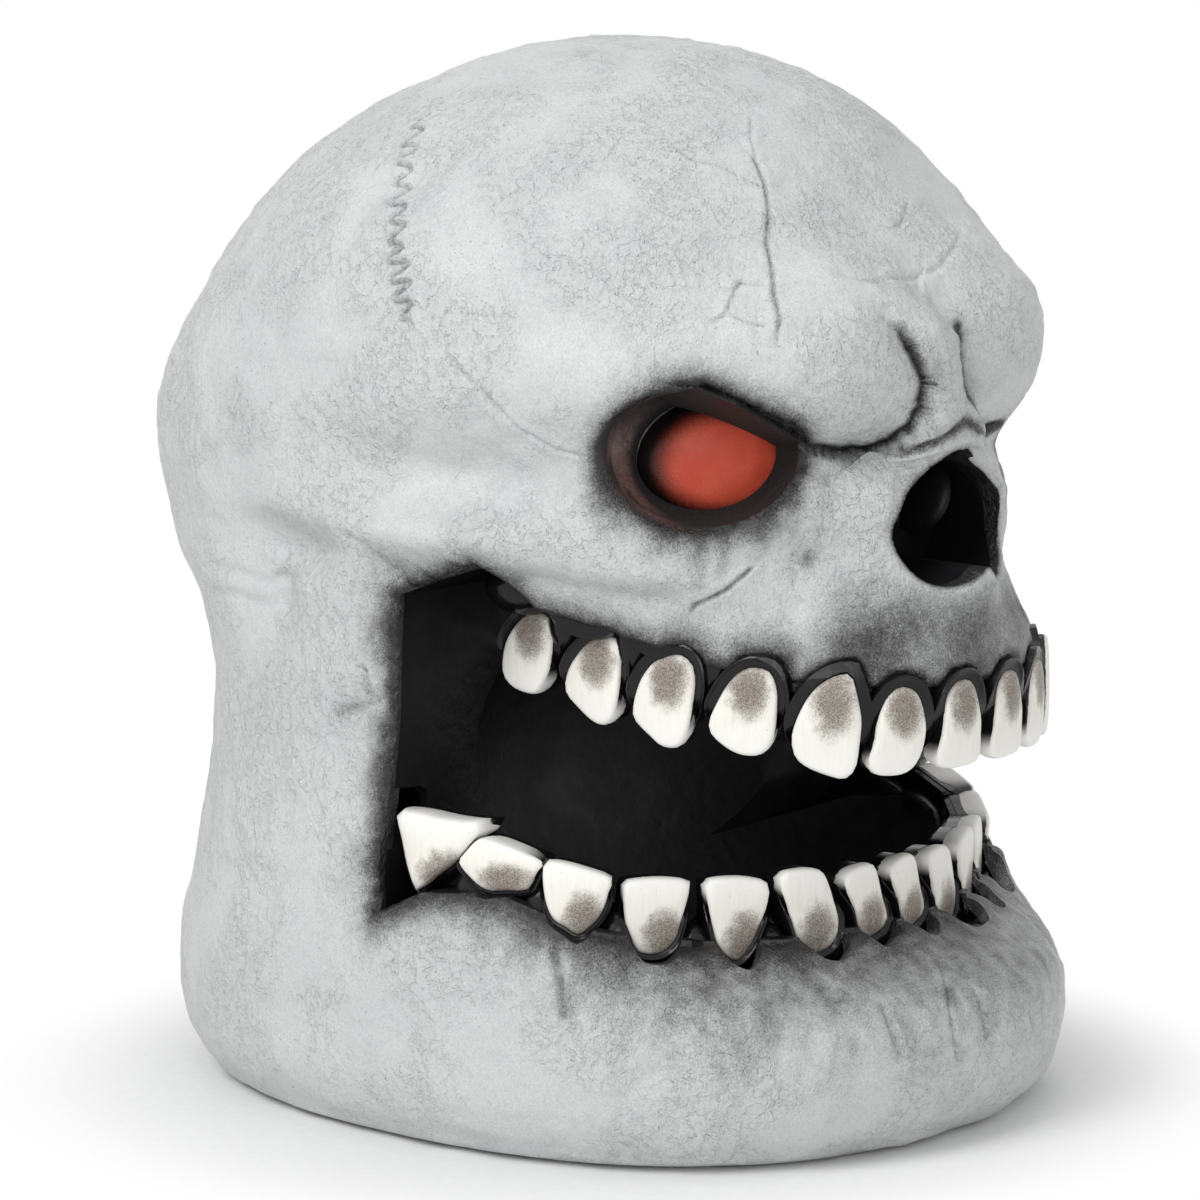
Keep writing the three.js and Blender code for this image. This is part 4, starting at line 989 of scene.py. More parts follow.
def make_shell():
    """The bone: the outer skin with its hollow, bosses, openings and notches."""
    hollow = room(DEEP_WALL)
    hollow = carve(hollow, [socket_cut(s, WALL) for s in SIDES.values()])
    body = carve(loose(outer_skin(), "skull_shell_moulding"), [hollow])
    body = carve(body, [
        loose(tube((BOSS_RADIUS, BOSS_RADIUS), x, y, LEDGE, LEDGE + BOSS_HEIGHT), "boss")
        for x, y in screw_places
    ], "UNION")
    cuts = [window_cut(HAIR), bowl_cut(HAIR), nose_cut(HAIR, HALF_DEPTH * NOSE_BACK - HAIR)]
    cuts.append(loose(tube(grown(PLATE_RADII, GAP), 0, 0, -OVERRUN, LEDGE, 96), "recess"))
    cuts.append(loose(tube(HATCH_RADII, 0, 0, -OVERRUN, FLOOR + GAP, 96), "hatch"))
    for side in SIDES.values():
        cuts += [socket_cut(side, 0), *lens_hole_cuts(side)]
    cuts += [scallop_cut(one) for one in upper_row + lower_row]
    cuts += [
        loose(tube((SCREW_HOLE, SCREW_HOLE), x, y, 0, LEDGE + BOSS_HEIGHT - WALL), "screw_hole")
        for x, y in screw_places
    ]
    return carve(body, cuts)


def keep_largest(bm):
    """Drops the crumbs that a cut leaves behind."""
    bm.verts.index_update()
    seen, best = set(), []
    for start in bm.verts:
        if start in seen:
            continue
        group, stack = [], [start]
        seen.add(start)
        while stack:
            vert = stack.pop()
            group.append(vert)
            for edge in vert.link_edges:
                other = edge.other_vert(vert)
                if other not in seen:
                    seen.add(other)
                    stack.append(other)
        if len(group) > len(best):
            best = group
    keep = set(best)
    bmesh.ops.delete(bm, geom=[v for v in bm.verts if v not in keep], context="VERTS")


def keep_in_box(mesh):
    """Holds a finished mesh inside the depth of the CAD part."""
    spots = np.array([v.co for v in mesh.vertices], np.float32)
    spots[:, 1] = np.clip(spots[:, 1], cad_box[0][1], cad_box[1][1])
    mesh.vertices.foreach_set("co", spots.ravel())


def shade_smooth(bm):
    for face in bm.faces:
        face.smooth = True
    for edge in bm.edges:
        edge.smooth = len(edge.link_faces) == 2 and edge.calc_face_angle(0) < SHARP_ANGLE


def write_masks(mesh, masks):
    for key, values in masks.items():
        held = mesh.attributes.new(key, "FLOAT", "POINT")
        held.data.foreach_set("value", np.asarray(values, np.float32))


def dress(piece, material):
    piece.data.materials.clear()
    piece.data.materials.append(material)


def settle(piece, name, replaced, material):
    """Puts a piece in its place in the part, gives it its body and material, and hides the parts it
    replaces.
    """
    piece.data.transform(TO_PART)
    keep_in_box(piece.data)
    piece.name = name
    piece.data.name = name
    piece.data.update()
    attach(piece, "head")
    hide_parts(*replaced)
    dress(piece, material)


def finish_piece(piece, name, replaced, material, masks=None, largest=False):
    """Cleans a cut piece's mesh, writes its masks and settles it."""
    bm = bmesh.new()
    bm.from_mesh(piece.data)
    bmesh.ops.remove_doubles(bm, verts=bm.verts, dist=MERGE_WITHIN)
    bmesh.ops.dissolve_degenerate(bm, edges=bm.edges, dist=SHORTEST_EDGE)
    bmesh.ops.triangulate(bm, faces=[f for f in bm.faces if len(f.verts) > 4])
    if largest:
        keep_largest(bm)
    shade_smooth(bm)
    bm.to_mesh(piece.data)
    bm.free()
    if masks:
        write_masks(piece.data, masks(np.array([v.co for v in piece.data.vertices])))
    settle(piece, name, replaced, material)


def flattened(points):
    """The nearest places on the bare skin, and how far from them the points lie."""
    found = [skin_tree.find_nearest(tuple(p)) for p in points]
    return np.array([tuple(f[0]) for f in found]), np.array([f[3] for f in found])


def mouth_spray_and_shade(points, streak):
    """Black at the mouth's edge, a cloud of spray dust and painted shade before it, and streaks
    that run down the chin.
    """
    mouth = np.maximum(mouth_distance(points), 0)
    patch = 0.5 + 0.5 * wander(points, *PATCHES)
    _, along, up = points.T
    front, low = smooth(0, -100, along), smooth(120, 95, up)
    ahead = smooth(-128, -158, along) * smooth(232, 205, up)
    reach = 5 + 4 * patch + low * front * (4 + 22 * streak ** 1.5) + (1 - low) * front * 3
    reach += 11 * patch ** 2 * smooth(-50, -15, along)
    # The cloud above the mouth, strongest over the front of the upper jaw: spray dust and painted
    # shade.
    cloud = (0.16 + 0.62 * ahead) * front * (1 - low) * (0.55 + 0.75 * patch)
    chin = 0.62 * low * smooth(-50, -130, along) * (0.6 + 0.7 * streak)
    return np.max([
        fade(mouth, reach, 1.1),
        1.3 * fade(mouth, 2.2, 1),
        cloud * fade(mouth, 18 + 8 * patch + 26 * ahead),
        chin * fade(mouth, 30 + 18 * streak),
    ], axis=0)


def socket_spray(points, socket, streak):
    """Black round a socket, which runs down below it."""
    below = smooth(0, 22, HEIGHT * SOCKET[2] - points[:, 2])
    reach = 6.5 + 14 * below * streak ** 2
    return (1.35 - 0.3 * below) * fade(np.maximum(socket, 0), reach, 1.2)


def mark_paint_and_shade(flat, depth):
    """Black paint in the cracks; painted shade in the creases and pits; black paint and painted
    shade under the folds; and a softer dark beside the lines.
    """
    coats = []
    # Black paint in the cracks, and painted shade in the dips of the creases; the second coat is a
    # softer dark beside each line.
    for line, half, _, dark in cracks + creases:
        apart, taper = beside(flat, line, 0.1, 0.1)
        coats.append(dark * (0.4 + 0.6 * taper) * fade(apart, half))
        coats.append(0.5 * dark * taper * fade(apart, 2.5 * half, 1))
    # Under each fold's round edge: black paint and painted shade in the dip below it.
    deep = smooth(6.5, 1.5, depth)
    for line, *_, dark in folds:
        apart, taper = beside(flat, line, 0.12, 0.1)
        coats.append(1.3 * dark * taper * deep * fade(apart, 3))
        coats.append(0.5 * dark * taper * fade(apart, 5, 1))
    # Painted shade in the pits.
    for spot, half, _, dark in pits:
        coats.append(dark * fade(np.linalg.norm(flat - np.array(spot), axis=1), half, 4))
    return np.max(coats, axis=0)


def shell_masks(points):
    """How thick the black coat of spray paint and painted shade lies, and what lies inside the
    sockets and the head.
    """
    flat, depth = flattened(points)
    socket = socket_distance(points)
    nose = np.maximum(nose_distance(points), 0)
    streak = 0.5 + 0.5 * wander(points * (1, 1, 0.22), *STREAKS)
    spray_and_shade = np.max([
        mouth_spray_and_shade(points, streak), 0.9 * fade(nose, 1.6, 1), 0.35 * fade(nose, 6, 1),
        socket_spray(points, socket, streak), mark_paint_and_shade(flat, depth),
    ], axis=0)
    lens = np.full(len(points), FAR)
    under = np.zeros(len(points))
    for side in SIDES.values():
        local = eye_local(points, EYE, side)
        apart = lens_grade(local)
        under = np.where(apart < lens, -local[:, 2] / LENS_RADII[2], under)
        lens = np.minimum(lens, apart)
    return {
        "spray_and_shade": np.clip(spray_and_shade, 0, 1),
        "lid": smooth(-5, -0.8, above_lid(points)),
        "socket": smooth(1.4, 0.4, socket) * smooth(0.6, 2.6, depth),
        "rim": smooth(1.5, 9, depth),
        "lens": lens,
        "under": under,
        # Painted shade: near black on the inside of the wall, for the dark inside the closed head.
        "inner": smooth(1.6, 0.7, hollow_distance(points)),
    }


def hollow_distance(points):
    """How far points lie from the inside of the moulding's wall."""
    return np.array([hollow_tree.find_nearest(tuple(p))[3] for p in points])


class Value:
    """A number, vector or colour that varies over a surface."""

    def __init__(self, nodes, socket):
        self.nodes = nodes
        self.socket = socket

    def also(self, name):
        """Another output of the same node."""
        return Value(self.nodes, self.socket.node.outputs[name])

    def _math(self, operation, *terms):
        return self.nodes.node("ShaderNodeMath", {"operation": operation}, dict(enumerate(terms)))

    def __add__(self, other):
        return self._math("ADD", self, other)

    def __sub__(self, other):
        return self._math("SUBTRACT", self, other)

    def __rsub__(self, other):
        return self._math("SUBTRACT", other, self)

    def __mul__(self, other):
        return self._math("MULTIPLY", self, other)

    def __truediv__(self, other):
        return self._math("DIVIDE", self, other)

    def __pow__(self, other):
        return self._math("POWER", self, other)

    def most(self, other):
        return self._math("MAXIMUM", self, other)

    def ramp(self, low, high, bottom=0.0, top=1.0):
        """Passes smoothly from bottom to top as the value goes from low to high."""
        inputs = {"Value": self, "From Min": low, "From Max": high, "To Min": bottom, "To Max": top}
        return self.nodes.node("ShaderNodeMapRange", {"interpolation_type": "SMOOTHSTEP"}, inputs)


class Nodes:
    """The node tree of a material or of the world, built up from its output."""

    def __init__(self, owner, output):
        owner.use_nodes = True
        self.tree = owner.node_tree
        self.tree.nodes.clear()
        self.output = self.tree.nodes.new(output)

    def show(self, shader):
        self.tree.links.new(shader.socket, self.output.inputs[0])

    def node(self, kind, settings=None, inputs=None, out=0):
        made = self.tree.nodes.new(kind)
        for key, value in (settings or {}).items():
            setattr(made, key, value)
        for key, value in (inputs or {}).items():
            if isinstance(value, Value):
                self.tree.links.new(value.socket, made.inputs[key])
            else:
                made.inputs[key].default_value = value
        return Value(self, made.outputs[out])

    def seen(self):
        """1 for what the camera sees, directly, in a shine or through something clear."""
        rays = self.node("ShaderNodeLightPath")
        return rays.most(rays.also("Is Glossy Ray")).most(rays.also("Is Transmission Ray"))


class Finish(Nodes):
    """A procedural material on one shader."""

    def __init__(self, name, **plain):
        self.material = bpy.data.materials.new(name)
        super().__init__(self.material, "ShaderNodeOutputMaterial")
        self.shader = self.node("ShaderNodeBsdfPrincipled")
        self.show(self.shader)
        for key, value in plain.items():
            self.shader.socket.node.inputs[key.replace("_", " ")].default_value = value
        self.place = self.node("ShaderNodeTexCoord", out="Object")

    def feed(self, key, value):
        self.tree.links.new(value.socket, self.shader.socket.node.inputs[key])

    def done(self, colour, rough, relief):
        self.feed("Base Color", colour)
        self.feed("Roughness", rough)
        self.feed("Normal", relief)
        return self.material

    def mask(self, name):
        return self.node("ShaderNodeAttribute", {"attribute_name": name}, out=2)

    def noise(self, size, detail=2.0, roughness=0.5, place=None):
        """Smooth noise with lumps of a size in millimetres."""
        inputs = {
            "Vector": place or self.place, "Scale": 1 / (size * MM), "Detail": detail,
            "Roughness": roughness,
        }
        return self.node("ShaderNodeTexNoise", None, inputs)

    def cells(self, size):
        inputs = {"Vector": self.place, "Scale": 1 / (size * MM)}
        return self.node("ShaderNodeTexVoronoi", None, inputs)

    def mix(self, share, first, second):
        """A colour between two."""
        inputs = {0: share, 6: first, 7: second}
        return self.node("ShaderNodeMix", {"data_type": "RGBA"}, inputs, out=2)

    def bump(self, height, depth, strength=1.0, below=None):
        inputs = {"Height": height, "Distance": depth * MM, "Strength": strength}
        if below:
            inputs["Normal"] = below
        return self.node("ShaderNodeBump", None, inputs)

    def stretched(self, x, y, z):
        return self.node("ShaderNodeMapping", None, {"Vector": self.place, "Scale": (x, y, z)})


def grey(level):
    return (level, level, level, 1.0)


def speckled(finish, amount, size=0.7):
    """The cover of the black coat, spray paint and painted shade: solid where thick, a soft dust
    where it thins out.
    """
    grain = finish.noise(size, 2.0, 0.7) - 0.5
    drift = finish.noise(5, 3.0, 0.6) - 0.5
    edge = amount.ramp(0.0, 0.25) * amount.ramp(1.0, 0.8)
    return (amount + (grain * 0.7 + drift * 0.35) * edge).ramp(0.05, 0.95)


def moulded_bone():
    f = Finish("moulded_bone")
    cloud = f.noise(38, 4.0, 0.6)
    grain = f.noise(0.8, 2.0, 0.65)
    wrinkles = f.noise(3.2, 4.0, 0.66, f.stretched(1, 1, 0.75))
    worms = ((f.noise(8, 3.0, 0.62) - 0.5) ** 2.0).ramp(0.0, 0.0011)
    patchy = f.noise(45, 2.0).ramp(0.36, 0.56)
    colour = f.mix(cloud.ramp(0.3, 0.7), (0.60, 0.612, 0.617, 1), (0.665, 0.676, 0.676, 1))
    colour = f.mix(grain.ramp(0.4, 0.7) * 0.4, colour, (0.42, 0.43, 0.44, 1))
    colour = f.mix(grain.ramp(0.42, 0.25) * 0.5, colour, (0.72, 0.73, 0.74, 1))
    # Painted shade: darker in the valleys of the wrinkles and along the grooves of the relief.
    colour = f.mix(wrinkles.ramp(0.48, 0.3) * 0.3, colour, (0.40, 0.41, 0.42, 1))
    colour = f.mix((1 - worms) * patchy * 0.07, colour, (0.30, 0.31, 0.32, 1))
    dust = f.noise(1.2, 1.0, 0.5).ramp(0.68, 0.76) * f.noise(60, 2.0).ramp(0.35, 0.6)
    colour = f.mix(dust * 0.6, colour, (0.16, 0.16, 0.17, 1))
    # The black coat is spray paint, with painted shade in the creases, pits, under the folds and in
    # the cloud above the mouth.
    cover = speckled(f, f.mask("spray_and_shade"))
    colour = f.mix(cover, colour, (0.012, 0.011, 0.011, 1))
    near, under, rim = f.mask("lens"), f.mask("under"), f.mask("rim")
    warm = f.noise(7, 3.0).ramp(0.35, 0.65)
    deep = f.mix(warm, (0.12, 0.093, 0.088, 1), (0.24, 0.165, 0.145, 1))
    # Painted light: a red tint on the socket near and below the lens, for the lens's own light.
    glow = near.ramp(1.8, 1.1) * under.ramp(-0.5, 0.5)
    deep = f.mix(glow * 0.4, deep, (0.26, 0.075, 0.05, 1))
    # Black over the lens, on the socket under the overhanging brow: black paint and painted shade.
    deep = f.mix(under.ramp(-0.25, -0.8) * 0.85, deep, (0.012, 0.009, 0.009, 1))
    deep = f.mix(grain.ramp(0.45, 0.7) * 0.5, deep, (0.045, 0.03, 0.026, 1))
    deep = f.mix(near.ramp(1.22, 1.05), deep, (0.006, 0.004, 0.004, 1))
    edge = rim.ramp(0.85, 0.1) * under.ramp(0.0, 0.7, 0.95, 0.75)
    deep = f.mix(edge, deep, (0.014, 0.012, 0.012, 1))
    # Black on the lid under the brow: black paint and painted shade.
    deep = f.mix(f.mask("lid") * 0.95, deep, (0.012, 0.009, 0.009, 1))
    colour = f.mix(f.mask("socket"), colour, deep)
    # Painted shade: the inside of the moulding's wall is made near black, for the dark inside the
    # closed head.
    colour = f.mix(f.mask("inner"), colour, (0.010, 0.010, 0.011, 1))
    relief = f.bump(wrinkles * (patchy * 0.7 + 0.3), 2.6, 0.75)
    relief = f.bump(worms * patchy, 0.5, 0.7, relief)
    relief = f.bump(grain, 0.22, 0.8, relief)
    rough = grain.ramp(0.2, 0.8, 0.40, 0.56) - cover * 0.08 + f.mask("socket") * 0.42
    return f.done(colour, rough, relief)


def gloss_black(name="gloss_black_paint", rough=0.16, cloud=0.0, shine=0.3):
    f = Finish(name, Specular_IOR_Level=shine)
    drift = f.noise(30, 4.0, 0.65)
    dust = f.noise(0.8, 2.0, 0.6).ramp(0.62, 0.8)
    colour = f.mix(drift.ramp(0.45, 0.75) * cloud, (0.006, 0.006, 0.007, 1), (0.05, 0.05, 0.054, 1))
    colour = f.mix(dust * (0.15 + cloud * 0.4), colour, (0.08, 0.08, 0.085, 1))
    relief = f.bump(f.noise(1.1, 2.0), 0.08, 0.5, f.bump(f.noise(7, 2.0), 0.9, 0.35))
    return f.done(colour, drift.ramp(0.3, 0.7, rough, rough + 0.16), relief)


def painted_tooth():
    f = Finish("painted_tooth")
    polar, across, rise = f.mask("polar"), f.mask("across"), f.mask("root")
    streaks = f.noise(1.6, 2.0, 0.5, f.stretched(1, 1, 0.12))
    ivory = f.mix(streaks.ramp(0.4, 0.7) * 0.35, (0.90, 0.88, 0.82, 1), (0.80, 0.76, 0.67, 1))
    ivory = f.mix(rise.ramp(-0.1, -0.9) * 0.7, ivory, (0.94, 0.935, 0.91, 1))
    wobble = (f.noise(5, 2.0) - 0.5) * 0.5
    patch = ((across - 0.2 + wobble) / 0.8) ** 2.0 + ((rise - 0.5 + wobble * 0.6) / 0.85) ** 2.0
    patch = patch.ramp(1.3, 0.0) * 0.9
    grain = f.noise(0.6, 2.0, 0.7)
    dots = (patch + (grain - 0.5) * 1.1 * patch.ramp(0, 0.5)).ramp(0.08, 1.15)
    ivory = f.mix(dots, ivory, (0.14, 0.105, 0.08, 1))
    ivory = f.mix(f.noise(1.1, 1.0).ramp(0.72, 0.8) * 0.3, ivory, (0.25, 0.22, 0.18, 1))
    edge = (polar + (f.noise(2.5, 2.0) - 0.5) * 0.035).ramp(0.485, 0.50) * rise.ramp(-0.75, -0.35)
    colour = f.mix(edge, ivory, (0.008, 0.008, 0.009, 1))
    relief = f.bump(grain, 0.08, 0.4, f.bump(streaks, 0.5, 0.35))
    return f.done(colour, edge.ramp(0, 1, 0.42, 0.17), relief)


def frosted_eye():
    f = Finish("frosted_eye", Specular_IOR_Level=0.3)
    rim = f.mask("rim")
    grain = f.noise(0.55, 2.0, 0.7)
    glow = f.noise(14, 2.0).ramp(0.3, 0.7)
    red = f.mix(glow * 0.6, (0.56, 0.065, 0.035, 1), (0.72, 0.115, 0.06, 1))
    red = f.mix(grain.ramp(0.5, 0.75) * 0.45, red, (0.26, 0.03, 0.02, 1))
    shade = (rim + (grain - 0.5) * 0.2).ramp(0.55, 0.92)
    colour = f.mix(shade, red, (0.006, 0.004, 0.004, 1))
    return f.done(colour, shade.ramp(0, 1, 0.42, 0.3), f.bump(grain, 0.06, 0.5))


def plain_plastic(name, colour, rough, speck=0.06, size=0.6, metal=0.0):
    """A moulded or metal surface with a fine texture and slight cloudiness."""
    f = Finish(name, Metallic=metal)
    grain = f.noise(size, 2.0, 0.6)
    cloud = f.noise(16, 3.0)
    darker = tuple(c * (1 - 2.5 * speck) for c in colour[:3]) + (1.0,)
    colour = f.mix(grain.ramp(0.3, 0.7) * 0.5 + cloud.ramp(0.35, 0.7) * 0.4, colour, darker)
    return f.done(colour, cloud.ramp(0.3, 0.7, rough, rough + 0.12), f.bump(grain, 0.1, 0.5))


def circuit_board():
    f = Finish("circuit_board")
    tracks = f.cells(3.2).ramp(0.10, 0.16)
    colour = f.mix(tracks, (0.05, 0.20, 0.09, 1), (0.02, 0.10, 0.045, 1))
    return f.done(colour, tracks.ramp(0, 1, 0.3, 0.42), f.bump(tracks, 0.1, 0.4))


def brushed_metal():
    f = Finish("brushed_metal", Metallic=1.0)
    lines = f.noise(0.5, 2.0, 0.6, f.stretched(1, 0.08, 1))
    colour = f.mix(lines.ramp(0.3, 0.7), (0.50, 0.50, 0.52, 1), (0.68, 0.68, 0.69, 1))
    return f.done(colour, lines.ramp(0.3, 0.7, 0.24, 0.4), f.bump(lines, 0.05, 0.4))


def cell_jacket():
    """The dark jacket of a battery."""
    f = Finish("cell_jacket")
    grain = f.noise(0.5, 2.0)
    colour = f.mix(grain.ramp(0.3, 0.7) * 0.4, (0.10, 0.10, 0.11, 1), (0.16, 0.16, 0.17, 1))
    return f.done(colour, grain.ramp(0.2, 0.8, 0.28, 0.4), f.bump(grain, 0.03, 0.4))


def add_teeth(teeth, jaw, material):
    for one in teeth:
        bm, polar, share = tooth_shape(one)
        name = f"{jaw}_tooth_{one['name']}"
        piece = loose(bm, name)
        write_masks(piece.data, {
            "polar": polar / math.pi, "across": share[:, 0], "root": share[:, 2] * ROOT_UP[jaw],
        })
        for polygon in piece.data.polygons:
            polygon.use_smooth = True
        settle(piece, f"{name}_crown", [name], material)


# Over the polar angle from the middle of a tooth: share of the collar's outline, and depth.
COLLAR_ANGLES = np.radians([0, 50, 64, 72, 78, 84, 90, 98, 120, 180])
COLLAR_SPREAD = np.array([0, 0.8, 0.9, 0.935, 0.965, 0.99, 1.0, 1.0, 0.92, 0])
COLLAR_DEPTH = np.array([-3.9, -3.9, -4.2, -4.9, -5.2, -4.8, -3.4, 2, 9, 11])
COLLAR_SEGMENTS = 40
COLLAR_RINGS = 28
# How far a lip stands round the root, how far it stays inside the tip, how far it falls back
# towards the tip, and up to what polar angle.
COLLAR_GROW = {"upper": 4.6, "lower": 2.4}
COLLAR_SHRINK = 0.6
COLLAR_RECESS = 6
COLLAR_FRONT = 1.7
# Half depth and half height of the gum's lumps, and how far outwards they sit: past the roots
# and out to the bone, behind the teeth, and between them. Then their half widths as shares of a
# tooth's width.
GUM_SIZES = {"upper": (17, 12, 3), "lower": (22, 12, 7)}
GUM_BACK_SIZES = (9, 13, -12)
GUM_BETWEEN_SIZES = (8, 12, -1)
GUM_SHARE = 0.68
GUM_BACK_SHARE = 0.62
GUM_BETWEEN_SHARE = 0.3
GUM_BACK_RISE = 12
GUM_SUNK = {"upper": 3.4, "lower": 5}
GUM_RISE = {"upper": -2, "lower": 3}
LIP_PROUD = 3


def collar(one):
    """The black lip round the root of a tooth, which dies away towards its tip."""
    bm, polar, around, reach = turned_ball(one, COLLAR_SEGMENTS, COLLAR_RINGS)
    rise = np.sin(around) * reach * ROOT_UP[one["jaw"]]
    grow = COLLAR_GROW[one["jaw"]] * smooth(-0.7, 0.25, rise)
    grow -= COLLAR_SHRINK * smooth(0, -0.6, rise)
    spread = np.interp(polar, COLLAR_ANGLES, COLLAR_SPREAD)
    recess = COLLAR_RECESS * smooth(0.15, -0.45, rise) * (polar < COLLAR_FRONT)
    move_all(bm, np.stack([
        np.cos(around) * spread * (reach * one["width"] / 2 + grow),
        np.interp(polar, COLLAR_ANGLES, COLLAR_DEPTH) + recess,
        np.sin(around) * spread * (reach * one["height"] / 2 + grow),
    ], 1))
    bmesh.ops.transform(bm, matrix=one["matrix"], verts=bm.verts)
    return loose(bm, "collar")


def lip_room():
    """The head a little swollen: the black lips reach no further out."""
    bm = plain_skin(subdivisions=5)
    bm.normal_update()
    move_all(bm, [v.co + v.normal * LIP_PROUD for v in bm.verts])
    return loose(bm, "room")


def gum_lump(matrix, width, rise, sizes):
    """A smooth mass of gum at the root of a tooth or between two."""
    deep, tall, out = sizes
    place = matrix @ Matrix.Translation((0, -out, rise))
    return loose(ball(32, 20, (width, deep, tall), place), "gum_lump")


def add_gum(teeth, jaw, material):
    """One jaw's gum: lumps behind the teeth and between them, and a lip round each root."""
    root_up, sizes = ROOT_UP[jaw], GUM_SIZES[jaw]
    masses = []
    for one in teeth:
        at, width = one["matrix"], one["width"]
        rise = root_up * (one["height"] / 2 + sizes[1] + GUM_RISE[jaw])
        masses.append(gum_lump(at, width * GUM_SHARE, rise, sizes))
        masses.append(gum_lump(at, width * GUM_BACK_SHARE, root_up * GUM_BACK_RISE, GUM_BACK_SIZES))
    for one, other in zip(teeth, teeth[1:]):
        between = one["matrix"].lerp(other["matrix"], 0.5)
        rise = root_up * (one["height"] + other["height"]) / 4
        masses.append(gum_lump(between, one["width"] * GUM_BETWEEN_SHARE, rise, GUM_BETWEEN_SIZES))
    body = carve(masses[0], masses[1:], "UNION")
    body = carve(body, [room(GUM_SUNK[jaw])], "INTERSECT")
    lips = [carve(collar(one), [lip_room()], "INTERSECT") for one in teeth]
    body = carve(body, lips, "UNION")
    body = carve(body, [loose(tooth_shape(one, GAP)[0], "tooth") for one in teeth])
    finish_piece(body, f"{jaw}_gum_moulding", [f"{jaw}_gum"], material, largest=True)


def add_lens(mark, side, material):
    """An eye: the front half of a drawn-out ball, with a wall."""
    outer = ball(64, 40, LENS_RADII)
    inner = ball(48, 30, grown(LENS_RADII, -LENS_WALL))
    behind = bmesh.new()
    place = Matrix.Translation((0, BEHIND_LENS / 2, 0)) @ Matrix.Scale(BEHIND_LENS, 4)
    bmesh.ops.create_cube(behind, size=1, matrix=place)
    piece = carve(loose(outer, "lens"), [loose(inner, "inner"), loose(behind, "behind")])
    piece.data.transform(eye_matrix(EYE, side))

    def masks(points):
        return {"rim": lens_grade(eye_local(points, EYE, side))}

    name = f"eye_lens_{mark}"
    finish_piece(piece, f"{name}_dome", [name], material, masks)


def gum_room(one):
    """The room that the gum takes from the lining: a little inside a tooth, and far outside."""
    bm, _, _ = tooth_shape(one, GUM_ROOM, GUM_BACK + GUM_REACH)
    way = one["matrix"].to_3x3() @ Vector((0, (GUM_BACK - GUM_REACH) / 2, 0))
    bmesh.ops.translate(bm, vec=way, verts=bm.verts)
    return loose(bm, "gum_room")


def add_mouth_liner(material):
    body = carve(window_cut(LINER_WALL), [bowl_cut(LINER_WALL)], "UNION")
    body = carve(body, [room(WALL + GAP)], "INTERSECT")
    cuts = [window_cut(0), bowl_cut(0)] + [socket_cut(s, WALL + GAP) for s in SIDES.values()]
    cuts += [gum_room(one) for one in upper_row + lower_row]
    body = carve(body, cuts)
    finish_piece(body, "mouth_liner_cup", ["mouth_liner_roof", "mouth_liner_bowl"],
                 material, largest=True)


def add_nose_liner(material):
    back = HALF_DEPTH * NOSE_BACK
    body = nose_cut(LINER_WALL, back - LINER_WALL)
    body = carve(body, [nose_cut(0, back)])
    scrolls = []
    for side in SIDES.values():
        turn = Matrix.Rotation(side * TURBINATE_TURN, 4, "Y")
        place = Matrix.Translation(place_of(TURBINATE, side)) @ turn
        scrolls.append(loose(ball(40, 26, TURBINATE_RADII, place), "scroll"))
    body = carve(body, scrolls, "UNION")
    body = carve(body, [room(WALL + GAP)], "INTERSECT")
    body = carve(body, [socket_cut(s, WALL + GAP) for s in SIDES.values()])
    finish_piece(body, "nose_liner_cup", ["nose_liner"], material, largest=True)


WORLD_LEVEL = 0.38
FLOOR_REACH = 6
# From how far out, in metres, the floor begins to look plain white, and where it is all white.
WHITE_FLOOR = (0.16, 0.25)


def add_stage():
    """A pale floor that the camera sees as plain white a little way from the object."""
    floor = bmesh.new()
    bmesh.ops.create_grid(floor, x_segments=2, y_segments=2, size=FLOOR_REACH)
    mesh = bpy.data.meshes.new("floor")
    floor.to_mesh(mesh)
    floor.free()
    ground = bpy.data.objects.new("floor", mesh)
    bpy.context.scene.collection.objects.link(ground)
    f = Finish("pale_floor", Roughness=0.8)
    paper = f.noise(4, 2.0)
    f.feed("Base Color", f.mix(paper.ramp(0.3, 0.7), grey(0.90), grey(0.93)))
    away = f.node("ShaderNodeVectorMath", {"operation": "LENGTH"}, {0: f.place}, out="Value")
    white = f.node("ShaderNodeEmission", None, {"Strength": 1.0})
    share = f.seen() * away.ramp(*WHITE_FLOOR)
    f.show(f.node("ShaderNodeMixShader", None, {0: share, 1: f.shader, 2: white}))
    dress(ground, f.material)


# Each light's name, place in metres, size and power.
LIGHTS = [
    ("key", (-2.3, 0.1, 2.3), 1.6, 46),
    ("top", (0.3, 0.2, 3.0), 2.2, 16),
    ("front", (-1.9, -2.2, 1.0), 1.4, 17),
    ("right", (2.2, -1.6, 1.2), 1.4, 6),
]
LIGHTS_AIM = Vector((0, 0, 0.2))


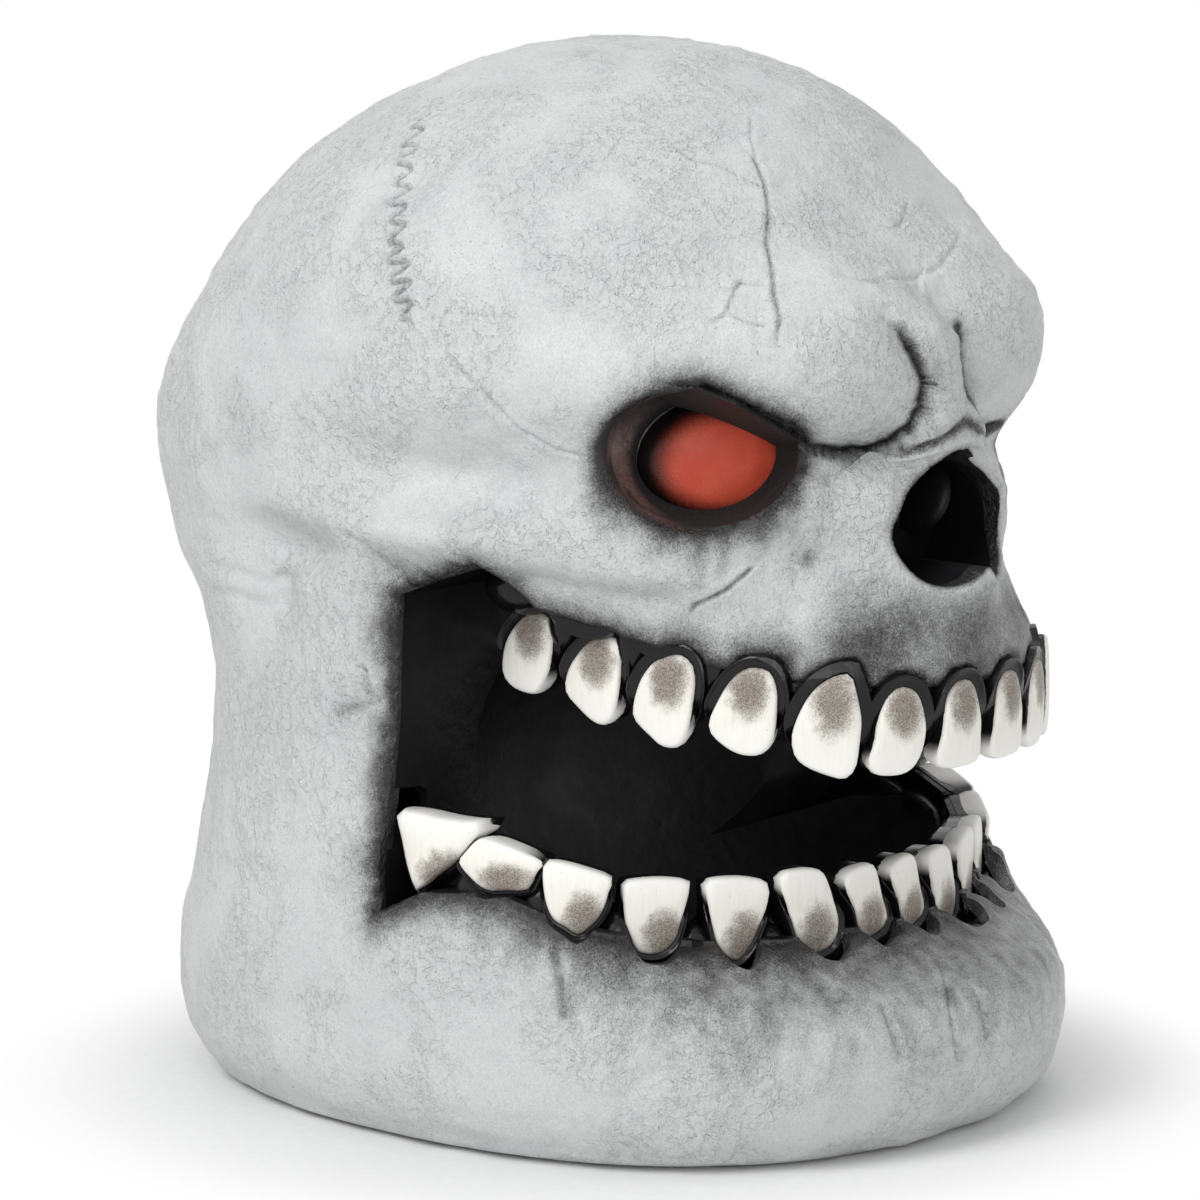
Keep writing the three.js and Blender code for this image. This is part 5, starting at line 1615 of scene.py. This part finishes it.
def add_light(name, place, size, power):
    lamp = bpy.data.lights.new(name, "AREA")
    lamp.shape = "DISK"
    lamp.size = size
    lamp.energy = power
    holder = bpy.data.objects.new(name, lamp)
    holder.location = place
    holder.rotation_euler = (LIGHTS_AIM - Vector(place)).to_track_quat("-Z", "Y").to_euler()
    bpy.context.scene.collection.objects.link(holder)


def add_world():
    """A soft even light that looks plain white where it is seen."""
    world = bpy.data.worlds.new("studio")
    bpy.context.scene.world = world
    w = Nodes(world, "ShaderNodeOutputWorld")
    soft, white = (
        w.node("ShaderNodeBackground", None, {"Color": grey(1.0), "Strength": strength})
        for strength in (WORLD_LEVEL, 1.0)
    )
    w.show(w.node("ShaderNodeMixShader", None, {0: w.seen(), 1: soft, 2: white}))


bpy.context.scene.view_settings.view_transform = "Standard"
add_camera()
add_stage()
add_world()
for light in LIGHTS:
    add_light(*light)

finish_piece(make_shell(), "skull_shell_moulding", ["skull_shell"], moulded_bone(),
             shell_masks, largest=True)
black = gloss_black()
add_mouth_liner(gloss_black("mouth_black", 0.34, 0.1, 0.1))
add_nose_liner(gloss_black("nose_black", 0.34, 0.12, 0.16))
rows = {"upper": upper_row, "lower": lower_row}
for jaw, teeth in rows.items():
    add_gum(teeth, jaw, black)
tooth_paint = painted_tooth()
for jaw, teeth in rows.items():
    add_teeth(teeth, jaw, tooth_paint)
eye_paint = frosted_eye()
for mark, side in SIDES.items():
    add_lens(mark, side, eye_paint)

steel = brushed_metal()
base_black = plain_plastic("base_black", (0.032, 0.032, 0.034, 1), 0.5)
MATERIAL_OF = {
    "led_cup": plain_plastic("cup_white", (0.80, 0.80, 0.78, 1), 0.45, 0.02),
    "led_board": circuit_board(),
    "led_wire": plain_plastic("wire_black", (0.02, 0.02, 0.021, 1), 0.45),
    "led_r": plain_plastic("led_red", (0.55, 0.05, 0.03, 1), 0.12, 0.03),
    "led_l": plain_plastic("led_red_left", (0.55, 0.05, 0.03, 1), 0.12, 0.03),
    "aa_battery": cell_jacket(),
    "contact": steel,
    "base_screw": steel,
    "switch_slider": plain_plastic("slider_grey", (0.35, 0.35, 0.36, 1), 0.4),
}
for name, node in nodes.items():
    if node.hide_render:
        continue
    found = [m for key, m in MATERIAL_OF.items() if name.startswith(key)]
    dress(node, found[0] if found else base_black)
